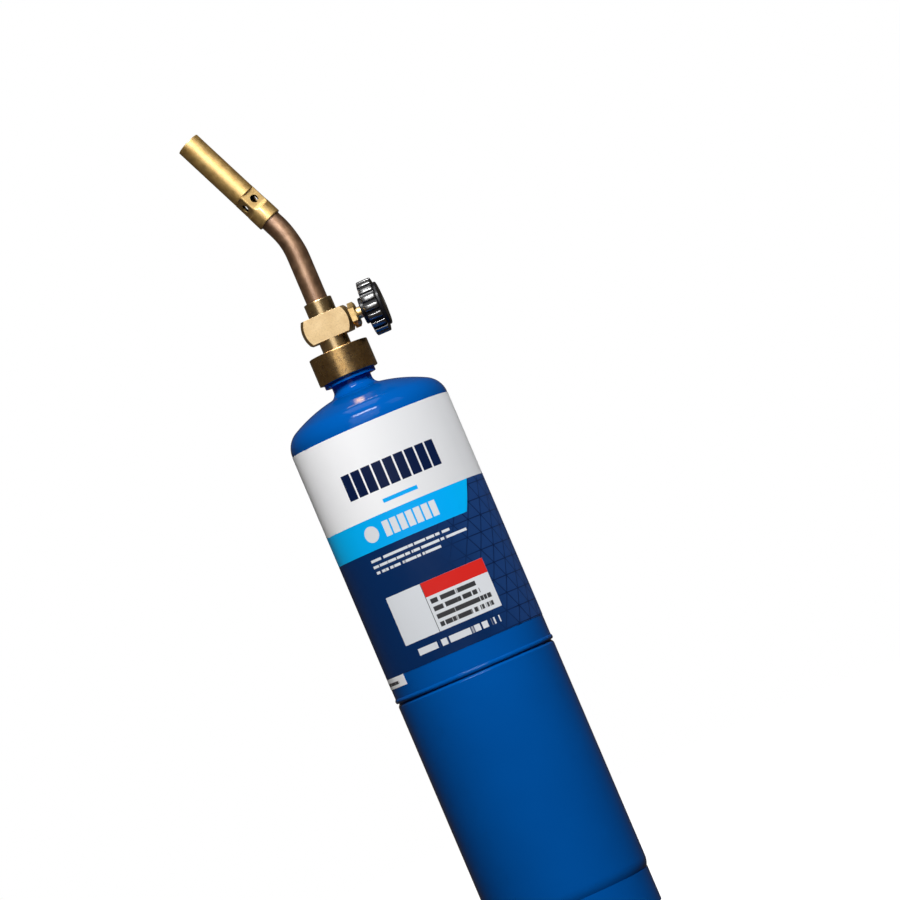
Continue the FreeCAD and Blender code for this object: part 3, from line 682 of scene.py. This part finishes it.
def print_back(film, ground):
    """The white side panel round the back, with rows of dashes."""
    back = film.math("ABSOLUTE", film.u)
    ground = film.mix(film.over(back, BACK_START), ground, PAPER)
    rows = film.band(film.math("WRAP", film.v, BACK_ROW, 0.0), *BACK_ROW_INK)
    words = film.node("ShaderNodeCombineXYZ")
    film.link(film.math("MULTIPLY", film.u, 0.5), words.inputs["X"])
    row_number = film.math("FLOOR", film.math("DIVIDE", film.v, BACK_ROW))
    film.link(film.math("MULTIPLY", row_number, 3.7), words.inputs["Y"])
    beat = film.over(film.noise(1.0, 1, 0.5, words.outputs["Vector"]), 0.42, DASH_BLUR)
    margin = film.both(film.over(back, BACK_START + BACK_MARGIN), film.band(film.v, *BACK_PRINT))
    return film.mix(film.both(film.both(rows, beat), margin), ground, GREY_INK)


def make_label():
    """White, cyan and navy fields with plain blocks and dashes where a real label has its print."""
    film = Print("printed_film")
    ground = print_fields(film, DEEP_BLUE)
    ground = print_blocks(film, ground)
    ground = print_dashes(film, ground, SMALL_PRINT, WHITE_INK)
    for field, ink in ((PANEL, WHITE_INK), (PANEL_HEAD, RED_INK), (PANEL_RULE, GREY_INK)):
        ground = film.mix(film.box(*field), ground, ink)
    ground = print_dashes(film, ground, PANEL_PRINT, GREY_INK, length=1.6, blank=0.40)
    ground = film.mix(film.dashes(*LAST_LINE, length=2.4, blank=0.40), ground, WHITE_INK)
    ground = print_back(film, ground)
    wrinkle = film.bump(film.noise(60, 3), 0.04, 0.5 * MM)
    shine = film.range(film.noise(500, 5), 0.3, 0.7, 0.30, 0.42)
    return film.set(Base_Color=ground, Roughness=shine, Normal=wrinkle,
                    Specular_IOR_Level=0.2, Diffuse_Roughness=0.9)


def make_strip_print():
    """The white edge of the side panel that shows under the wrap, with dashes from its side on."""
    film = Print("side_panel_film")
    dashes = film.dashes(-ALL_ROUND, ALL_ROUND, *STRIP_DASHES, length=2.0)
    ground = film.mix(dashes, PAPER, GREY_INK)
    ground = film.mix(film.over(film.math("ABSOLUTE", film.u), STRIP_PRINT_START), PAPER, ground)
    return film.set(Base_Color=ground, Roughness=film.range(film.noise(500, 5), 0.3, 0.7, 0.32, 0.45),
                    Specular_IOR_Level=0.2, Diffuse_Roughness=0.9)


paint = make_paint()
brass_turned = make_brass("turned_brass")
brass_worn = make_brass("tumbled_brass", lathe_marks=0.08, mottle=0.65, rough=(0.22, 0.30),
                        dark=(0.12, 0.052, 0.018), tint=(0.78, 0.70, 0.66), coat_ior=1.6)
brass_burner = make_brass("burner_brass", AXIS_BURNER, 0.06, 0.2, (0.46, 0.58), black_bore_radius=5.2 * MM)
brass_mixer = make_brass("mixer_brass", AXIS_BURNER, 0.06, 0.2, (0.42, 0.54), black_bore_radius=4.2 * MM)
brass_side = make_brass("side_turned_brass", AXIS_X)
brass_milled = make_brushed_brass()
tarnish = make_tarnish()
knob_plastic = make_knob_plastic()
rubber = make_rubber()
steel = make_steel()
sinter = make_sinter()
label_film = make_label()
strip_film = make_strip_print()


# ---------------- cylinder


def dome_outline(wall_z, up, inset, inner_radius=0.0):
    """Points of a dished end from its straight wall inwards; up is 1 for the shoulder and -1 for the base.

    inset is the depth under the outer face, and inner_radius is that of a neck that the dome flares into."""
    lean = CROWN_RADIUS - KNUCKLE_RADIUS
    offset = body_radius - KNUCKLE_RADIUS
    rise = math.sqrt(lean**2 - offset**2)
    tip = math.atan2(rise, offset)
    knuckle = arc((offset, 0), KNUCKLE_RADIUS - inset, 0, tip, steps=14)
    if inner_radius:
        reach = CROWN_RADIUS + NECK_FLARE
        flare_x = inner_radius + NECK_FLARE + inset
        stop = math.acos(flare_x / reach)
    else:
        stop = math.pi / 2
    crown = arc((0, -rise), CROWN_RADIUS - inset, tip, stop, steps=16)
    points = knuckle + crown[1:]
    if inner_radius:
        flare = (flare_x, reach * math.sin(stop) - rise)
        points += arc(flare, NECK_FLARE + inset, stop + math.pi, math.pi, steps=8)[1:]
    return [(radius, wall_z + up * height) for radius, height in points]


def make_foot_ring():
    """Pressed ring whose top edge leans in under the cylinder's base."""
    outer, top = foot_high.x, foot_high.z
    inner = outer - 1.4 * MM
    edge = 0.3 * MM
    outline = rounded([
        (inner, 0, edge),
        (outer, 0, edge),
        (outer, top, 0.25 * MM),
        (inner, top - 2.6 * MM, 0.2 * MM),
    ])
    mesh = lathe(outline, SHELL_COLUMNS)
    piece("pressed_foot_ring", mesh, "cylinder", paint, ["foot_ring"])


def make_lower_shell():
    """The lower half: the domed base, the wall, and the lap that goes up inside the upper half."""
    lap = body_radius - SHELL_WALL - 0.05 * MM
    outside = dome_outline(BASE_WALL_Z, -1, 0)[::-1]
    inside = dome_outline(BASE_WALL_Z, -1, SHELL_WALL)
    middle = rounded([
        (body_radius, seam_z - 4 * MM),
        (body_radius, seam_z - 1.5 * MM, 0.25 * MM),
        (lap, seam_z, 0.5 * MM),
        (lap, lap_top_z, 0.2 * MM),
        (lap - SHELL_WALL, lap_top_z, 0.2 * MM),
        (lap - SHELL_WALL, seam_z - 0.45 * MM),
        (body_radius - SHELL_WALL, seam_z - 1.95 * MM),
    ])
    mesh = lathe(outside + middle + inside, SHELL_COLUMNS)
    piece("drawn_lower_shell", mesh, "cylinder", paint, ["lower_shell"])


def make_upper_shell():
    """The upper half: a rolled bead at its rim, the shoulder, and the drawn neck."""
    bead = 2.1 * MM
    bead_radius = 1.4 * MM
    half = bead / 2
    inward = math.sqrt(bead_radius**2 - half**2)
    lean = math.asin(half / bead_radius)
    bead_centre = (body_radius - inward, seam_z + half)
    outside = arc(bead_centre, bead_radius, -lean, lean, steps=16)
    outside.append((body_radius, seam_z + bead + 0.12 * MM))
    outside += dome_outline(SHOULDER_Z, 1, 0, NECK_RADIUS)
    inner_neck = NECK_RADIUS - SHELL_WALL
    neck = rounded([
        (NECK_RADIUS, neck_top_z - 1 * MM),
        (NECK_RADIUS, neck_top_z, 0.15 * MM),
        (inner_neck, neck_top_z),
    ])
    inside = dome_outline(SHOULDER_Z, 1, SHELL_WALL, inner_neck)[::-1]
    rim = rounded([
        (body_radius - SHELL_WALL, seam_z + 1 * MM),
        (body_radius - SHELL_WALL, seam_z, 0.2 * MM),
        (body_radius, seam_z),
    ])[:-1]
    mesh = lathe(rim + outside + neck + inside, SHELL_COLUMNS)
    piece("drawn_upper_shell", mesh, "cylinder", paint, ["upper_shell"])


def make_label_wrap():
    """The printed wrap, a thin sleeve on the upper shell's wall."""
    outer = label_high.x
    edge = 0.04 * MM
    outline = rounded([
        (body_radius, label_low.z),
        (outer, label_low.z, edge),
        (outer, label_high.z, edge),
        (body_radius, label_high.z),
    ], 2)
    mesh = lathe(outline, SHELL_COLUMNS)
    piece("printed_wrap", mesh, "cylinder", label_film, ["label_wrap"])


def thread_rows(radius, start, end, rows):
    """An outline's points along a thread; their third number marks them for thread_shape."""
    return [(radius, start + (end - start) * n / rows, 1) for n in range(rows + 1)]


def thread_shape(depth, low, high, start_turn=0.0):
    """Raises a helical ridge of the cylinder valve's pitch between two heights, faded out at both ends."""

    def shape(point, angle):
        radius, height = point[:2]
        if len(point) < 3:
            return polar(point, angle)
        phase = (height / THREAD_PITCH - angle / FULL_TURN + start_turn) % 1
        ridge = min(1.0, max(0.0, 2.3 * (0.5 - abs(phase - 0.5)) - 0.12))
        ends = min(1.0, max(0.0, (height - low) / THREAD_PITCH), max(0.0, (high - height) / THREAD_PITCH))
        return polar((radius + depth * ridge * ends, height), angle)

    return shape


def make_neck_boss():
    """Threaded boss: a painted flange below, bare metal thread above, and the valve's socket in its top."""
    top = boss_high.z
    crest = boss_high.x
    root = crest - 0.62 * MM
    thread_low = 267.6 * MM
    thread_high = top - 0.5 * MM
    shank = NECK_RADIUS - SHELL_WALL
    flange = 12 * MM
    bore = 4.6 * MM
    outline = [(bore, boss_low.z), (shank, boss_low.z)]
    outline += rounded([
        (shank, neck_top_z),
        (flange, neck_top_z, 0.3 * MM),
        (flange, thread_low, 0.3 * MM),
        (root, thread_low),
    ])[:-1]
    outline += thread_rows(root, thread_low, thread_high, 100)
    outline += [(root - 0.5 * MM, top), (4.9 * MM, top), (bore, top - 0.3 * MM)]
    blank = lathe(outline, 120, thread_shape(crest - root, thread_low, thread_high))
    relief_offset = 7.2 * MM
    pocket = rod(1.8 * MM, top - 10.3 * MM, top + 1 * MM, columns=32)
    moved(pocket, Matrix.Translation((relief_offset, 0, 0)))
    mesh = combined(blank, [("DIFFERENCE", pocket)])
    boss = piece("threaded_boss", mesh, "cylinder", steel, ["neck_boss"])
    boss.data.materials.append(paint)
    for face in boss.data.polygons:
        on_flange = face.center.z < thread_low - 0.1 * MM and face.center.xy.length > shank
        face.material_index = 1 if on_flange else 0


make_foot_ring()
make_lower_shell()
make_upper_shell()
make_label_wrap()
make_neck_boss()


# ---------------- torch head


def make_coupling():
    """Inlet coupling: two worn wrench flats outside and a thread inside."""
    radius, low, top = coupling_high.x, coupling_low.z, coupling_high.z
    bore = boss_high.x + 0.06 * MM
    hole = 4.5 * MM
    roof = 278.3 * MM
    edge = 0.55 * MM
    thread_low, thread_high = low + 0.5 * MM, roof - 0.8 * MM
    outline = rounded([(bore + 0.5 * MM, low), (radius, low, edge), (radius, top, edge), (hole, top)])
    outline += [(hole, roof), (bore, roof)] + thread_rows(bore, thread_high, thread_low, 90)
    screw = thread_shape(0.45 * MM, thread_low, thread_high, 0.5)
    facing = math.radians(-139)
    side = Vector((math.cos(facing), math.sin(facing), 0))
    flat = 13.25 * MM

    def shape(point, angle):
        place = screw(point, angle)
        if point[0] <= bore + 0.6 * MM:
            return place
        return flattened(flattened(place, side, flat), -side, flat)

    mesh = lathe(outline, 216, shape)
    piece("round_coupling", mesh, "torch_head", brass_worn, ["inlet_coupling"])


def make_valve_body():
    """Brass slug cut from a thick disc, on its lower neck, with the tube's collar on top."""
    radius = valve_high.x
    half = (valve_high.y - valve_low.y) / 2
    edge = 1.3 * MM
    slab_height = 11.5 * MM
    neck_radius = 4.5 * MM
    throat_radius = 6.7 * MM
    collar_radius = 6.5 * MM
    collar_low = valve_z - 1 * MM
    bonnet_radius = 6.1 * MM
    centre = Matrix.Translation((0, 0, valve_z))

    disc = lathe(rounded([
        (0, -half),
        (radius - edge, -half, 0.15 * MM),
        (radius, -half + edge, 0.25 * MM),
        (radius, half - edge, 0.25 * MM),
        (radius - edge, half, 0.15 * MM),
        (0, half),
    ], 3), 128)
    moved(disc, centre @ Matrix.Rotation(math.radians(-90), 4, "X"))
    slab = bmesh.new()
    bmesh.ops.create_cube(slab, size=1)
    moved(slab, centre @ Matrix.Diagonal((40 * MM, 40 * MM, slab_height, 1)))
    slug = combined(disc, [("INTERSECT", slab)], bevel=0.3 * MM)

    neck = lathe([
        (0, valve_low.z),
        (neck_radius, valve_low.z),
        (neck_radius, coupling_high.z),
        (throat_radius, coupling_high.z),
        (throat_radius, valve_z),
        (0, valve_z),
    ], 96)
    collar = lathe(rounded([
        (0, collar_low),
        (collar_radius, collar_low),
        (collar_radius, valve_high.z, 0.5 * MM),
        (0, valve_high.z),
    ]), 96)
    socket = rod(TUBE_RADIUS, 298.6 * MM, 310 * MM, columns=96)
    gland = lathe([
        (0, 4 * MM),
        (2.42 * MM, 4 * MM),
        (2.42 * MM, GLAND_SEAT),
        (GLAND_RADIUS, GLAND_SEAT),
        (GLAND_RADIUS, GLAND_FACE),
        (bonnet_radius, GLAND_FACE),
        (bonnet_radius, 14 * MM),
        (0, 14 * MM),
    ], 64)
    moved(gland, AXIS_X)
    probe = rod(2.4 * MM, 277 * MM, 284.6 * MM, columns=48)
    body = combined(slug, [
        ("UNION", neck),
        ("UNION", collar),
        ("DIFFERENCE", socket),
        ("DIFFERENCE", gland),
        ("DIFFERENCE", probe),
    ])
    piece("valve_slug", body, "torch_head", brass_milled, ["valve_body"], 25, flat_area=60 * MM**2)


def make_packing_nut():
    """Hexagonal gland nut with its corners turned off at the outer end."""
    corner = (nut_high.z - nut_low.z) / 2
    apothem = corner * math.cos(math.radians(30))
    end = nut_high.x
    bore = 2.76 * MM
    packing = 3.05 * MM
    packing_end = 12.1 * MM
    outline = [
        (packing, GLAND_SEAT),
        (GLAND_RADIUS, GLAND_SEAT),
        (GLAND_RADIUS, GLAND_FACE),
        (corner, GLAND_FACE),
        (corner, end - 0.7 * MM),
        (apothem - 0.3 * MM, end),
        (bore, end),
        (bore, packing_end),
        (packing, packing_end),
    ]
    sides = [Vector((math.cos(a), math.sin(a), 0)) for a in (math.radians(30 + 60 * n) for n in range(6))]

    def shape(point, angle):
        place = polar(point, angle)
        for side in sides:
            place = flattened(place, side, apothem)
        return place

    mesh = moved(lathe(outline, 120, shape), AXIS_X)
    piece("gland_nut", mesh, "torch_head", brass_side, ["packing_nut"], 25)


# One rib of the knob: (degrees from its middle, share of its height).
RIB_STEPS = (
    (-10.0, 0.0), (-6.9, 0.0), (-6.0, 0.06), (-5.65, 0.70), (-5.2, 0.83), (-3.6, 0.92), (-1.8, 0.98),
    (0.0, 1.0), (1.8, 0.98), (3.6, 0.92), (5.2, 0.83), (5.65, 0.70), (6.0, 0.06), (6.9, 0.0),
)
RIBS = 18
RIB_START = 12.5


def make_knob():
    """Ribbed knob: a plain hub behind, square ribs round its rim and a slightly domed disc in front."""
    angles, rises = [], {}
    for number in range(RIBS):
        for offset, rise in RIB_STEPS:
            angle = math.radians(RIB_START + number * (360 / RIBS) + offset)
            angles.append(angle)
            rises[angle] = rise
    core, tip = 11.7 * MM, (knob_high.z - knob_low.z) / 2
    back, front, end = 18.8 * MM, 25.6 * MM, knob_high.x
    hub = 6.1 * MM
    cap = 10.1 * MM
    bore = 2.2 * MM
    screw_hole = 2.7 * MM
    seat = end - 1.2 * MM
    outline = rounded([
        (bore, knob_low.x),
        (hub, knob_low.x, 0.5 * MM),
        (hub, back, 0.3 * MM),
        (core - 0.9 * MM, back),
    ])
    # The third number of these points is the share of a rib's height that they take.
    outline += [
        (core - 0.25 * MM, back + 0.05 * MM, 0.4),
        (core, back + 0.3 * MM, 0.85),
        (core, back + 0.6 * MM, 1.0),
        (core, front - 0.6 * MM, 1.0),
        (core, front - 0.3 * MM, 0.85),
        (core - 0.25 * MM, front - 0.05 * MM, 0.4),
    ]
    outline += rounded([
        (core - 0.9 * MM, front),
        (cap, front, 0.25 * MM),
        (cap, end - 0.35 * MM, 0.6 * MM),
        (6.5 * MM, end - 0.05 * MM),
        (screw_hole, end, 0.2 * MM),
        (screw_hole, seat),
    ])
    outline += [(bore, seat)]

    def shape(point, angle):
        lift = (tip - core) * rises[angle] * point[2] if len(point) > 2 else 0.0
        return polar((point[0] + lift, point[1]), angle)

    mesh = moved(lathe(outline, angles, shape), AXIS_X)
    piece("ribbed_knob", mesh, "control", knob_plastic, ["control_knob"], 40)


def make_tube():
    """The bent tube, swept ring by ring along a straight run, an arc and a straight run."""
    bend_steps = 32
    flattening = 0.035
    columns = 72
    low = tube_bottom_z
    stations = [(Vector((0, 0, low + (BEND_Z - low) * n / 10)), 0.0) for n in range(10)]
    for n in range(bend_steps + 1):
        lean = BEND_ANGLE * n / bend_steps
        place = Vector((-BEND_RADIUS * (1 - math.cos(lean)), 0, BEND_Z + BEND_RADIUS * math.sin(lean)))
        stations.append((place, lean))
    end = stations[-1][0]
    along = Vector((-math.sin(BEND_ANGLE), 0, math.cos(BEND_ANGLE)))
    run = BEND_TO_COLLAR + TUBE_SOCKET
    stations += [(end + along * run * n / 4, BEND_ANGLE) for n in range(1, 5)]
    mesh = bmesh.new()

    def rings(radius):
        """One ring at each station, a little flattened in the bend."""
        made = []
        for place, lean in stations:
            across = Vector((math.cos(lean), 0, math.sin(lean)))
            squash = 1 - flattening * math.sin(math.pi * min(1, lean / BEND_ANGLE)) ** 2
            ring = []
            for n in range(columns):
                angle = FULL_TURN * n / columns
                wide = across * (radius * squash * math.cos(angle))
                offset = wide + Vector((0, radius * math.sin(angle), 0))
                ring.append(mesh.verts.new(place + offset))
            made.append(ring)
        return made

    loop = rings(TUBE_RADIUS) + rings(TUBE_RADIUS - TUBE_WALL)[::-1]
    for number, ring in enumerate(loop):
        following = loop[(number + 1) % len(loop)]
        for n in range(columns):
            other = (n + 1) % columns
            mesh.faces.new((ring[n], ring[other], following[other], following[n]))
    piece("bent_tube", mesh, "torch_head", tarnish, ["stem_tube"])


def make_mixer():
    """Collar and square waist with four air holes, and the spigot that the burn tube sits on."""
    spigot = BURNER_RADIUS - BURNER_WALL
    spigot_end = WAIST_TOP + 4 * MM
    bore = 3.6 * MM
    flat = 4.45 * MM
    air_hole = 1.95 * MM
    run_out = 2.2 * MM
    run_out_steps = 12
    start = COLLAR_LENGTH - 0.7 * MM
    outline = rounded([(TUBE_RADIUS, 0), (COLLAR_RADIUS, 0, 0.35 * MM), (COLLAR_RADIUS, start)])
    outline += [(COLLAR_RADIUS, start + run_out * n / run_out_steps) for n in range(1, run_out_steps + 1)]
    outline += [
        (COLLAR_RADIUS, WAIST_TOP),
        (spigot, WAIST_TOP),
        (spigot, spigot_end),
        (bore, spigot_end),
        (bore, TUBE_SOCKET),
        (TUBE_RADIUS, TUBE_SOCKET),
    ]
    turn = math.radians(-57)
    quarter = math.pi / 2
    sides = [Vector((math.cos(turn + quarter * n), math.sin(turn + quarter * n), 0)) for n in range(4)]

    def shape(point, angle):
        place = polar(point, angle)
        if start < point[1] <= WAIST_TOP and point[0] == COLLAR_RADIUS:
            rest = 1 - min(1, (point[1] - start) / run_out)
            limit = COLLAR_RADIUS - (COLLAR_RADIUS - flat) * math.sqrt(1 - rest**2)
            for side in sides:
                place = flattened(place, side, limit)
        return place

    middle = Matrix.Translation((0, 0, (COLLAR_LENGTH + WAIST_TOP) / 2))
    steps = []
    for number in range(2):
        drill = rod(air_hole, -9 * MM, 9 * MM, columns=40)
        lay = Matrix.Rotation(turn + number * quarter, 4, "Z") @ Matrix.Rotation(quarter, 4, "Y")
        steps.append(("DIFFERENCE", moved(drill, middle @ lay)))
    mesh = moved(combined(lathe(outline, 144, shape), steps), AXIS_BURNER)
    piece("mixer_collar", mesh, "torch_head", brass_mixer, ["mixer_body"], 25)


def make_burn_tube():
    """The plain flame tube."""
    inner = BURNER_RADIUS - BURNER_WALL
    outline = rounded([
        (inner, WAIST_TOP, 0.1 * MM),
        (BURNER_RADIUS, WAIST_TOP, 0.3 * MM),
        (BURNER_RADIUS, BURNER_END, 0.3 * MM),
        (inner, BURNER_END, 0.25 * MM),
    ])
    mesh = moved(lathe(outline, 112), AXIS_BURNER)
    piece("burner_barrel", mesh, "torch_head", brass_burner, ["burn_tube"])


make_coupling()
make_valve_body()
make_packing_nut()
make_knob()
make_tube()
make_mixer()
make_burn_tube()


# ---------------- CAD pieces that keep their own shape

KEPT = {
    "label_strip": strip_film,
    "tank_valve_core": brass_turned,
    "tank_valve_pin": brass_turned,
    "tank_valve_seal": rubber,
    "tank_valve_spring": steel,
    "relief_poppet": brass_turned,
    "relief_spring": steel,
    "relief_retainer": brass_turned,
    "inlet_probe": brass_turned,
    "inlet_filter": sinter,
    "inlet_seal": rubber,
    "needle_stem": brass_side,
    "stem_o_ring": rubber,
    "knob_screw": steel,
    "gas_orifice": brass_burner,
    "flame_holder": brass_burner,
}

for node_name, material in KEPT.items():
    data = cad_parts[node_name].data
    data.materials.clear()
    data.materials.append(material)
    data.shade_smooth()
    data.set_sharp_from_angle(angle=math.radians(30))


# ---------------- stage and light


def make_world():
    """White behind the object, and a dim warm room in its reflections."""
    world = bpy.data.worlds.new("studio")
    bpy.context.scene.world = world
    world.use_nodes = True
    tree = world.node_tree
    tree.nodes.clear()
    rays = tree.nodes.new("ShaderNodeLightPath").outputs

    def glow(colour, strength):
        made = tree.nodes.new("ShaderNodeBackground")
        made.inputs["Color"].default_value = (*colour, 1)
        made.inputs["Strength"].default_value = strength
        return made.outputs[0]

    def choose(factor, no, yes):
        made = tree.nodes.new("ShaderNodeMixShader")
        for source, target in zip((factor, no, yes), made.inputs):
            tree.links.new(source, target)
        return made.outputs[0]

    fill = glow((1.0, 0.97, 0.94), 0.035)
    warm_room = glow((1.0, 0.84, 0.64), 0.060)
    backdrop = glow((1, 1, 1), 1.0)
    seen = choose(rays["Is Camera Ray"], choose(rays["Is Glossy Ray"], fill, warm_room), backdrop)
    out = tree.nodes.new("ShaderNodeOutputWorld")
    tree.links.new(seen, out.inputs["Surface"])


def make_floor():
    """A pale disc that fades into the white behind it."""
    mesh = bmesh.new()
    bmesh.ops.create_circle(mesh, cap_ends=True, radius=1.6, segments=96)
    floor = as_object("floor", mesh)
    ground = Shader("pale_floor")
    apart = ground.node("ShaderNodeVectorMath", operation="LENGTH")
    ground.link(ground.space, apart.inputs[0])
    fade = ground.range(apart.outputs["Value"], 0.25, 1.3, 1.0, 0.0)
    grain = ground.range(ground.noise(40, 3), 0, 1, 0.40, 0.44)
    colour = ground.ramp(grain, (0, (0.3, 0.3, 0.3)), (1, (0.9, 0.9, 0.9)))
    ground.set(Base_Color=colour, Roughness=0.9, Alpha=fade,
               Emission_Color=(1, 1, 1, 1), Emission_Strength=0.95)
    floor.data.materials.append(ground.material)
    floor.visible_diffuse = False
    floor.visible_glossy = False


def softbox(name, azimuth, elevation, distance, width, height, radiance, rays, aim_z):
    """A rectangular light that faces the torch; azimuth 0 is in front and 90 is on the knob's side."""
    data = bpy.data.lights.new(name, "AREA")
    data.shape = "RECTANGLE"
    data.size = width
    data.size_y = height
    data.energy = radiance * width * height * math.pi
    light = bpy.data.objects.new(name, data)
    a, e = math.radians(azimuth), math.radians(elevation)
    out = Vector((math.sin(a) * math.cos(e), -math.cos(a) * math.cos(e), math.sin(e)))
    facing = out.to_track_quat("Z", "Y").to_matrix().to_4x4()
    light.matrix_world = Matrix.Translation(Vector((0, 0, aim_z)) + out * distance) @ facing
    light.visible_diffuse = rays == "diffuse"
    light.visible_glossy = rays == "glossy"
    bpy.context.scene.collection.objects.link(light)


# Name, azimuth, elevation, distance, width, height, radiance, the rays that see it, and the height it faces.
LIGHTS = (
    ("key", 11, 36, 0.95, 0.30, 0.30, 39, "diffuse", 0.25),
    ("front_card", 3, 31, 1.6, 1.15, 0.85, 3.1, "glossy", 0.22),
    ("head_card", -4, 2, 0.45, 0.26, 0.10, 1.35, "glossy", 0.315),
    ("shoulder_glint", 5, 52, 1.5, 0.75, 0.20, 55, "glossy", 0.22),
    ("side_card", 60, 40, 1.5, 0.5, 0.5, 1.4, "glossy", 0.36),
    ("top_card", 5, 88, 1.3, 0.6, 0.6, 3, "glossy", 0.22),
    ("back_card", 185, 8, 1.6, 0.7, 1.4, 2.6, "diffuse", 0.22),
)

make_world()
make_floor()
for light in LIGHTS:
    softbox(*light)

bpy.context.scene.view_settings.view_transform = "Standard"
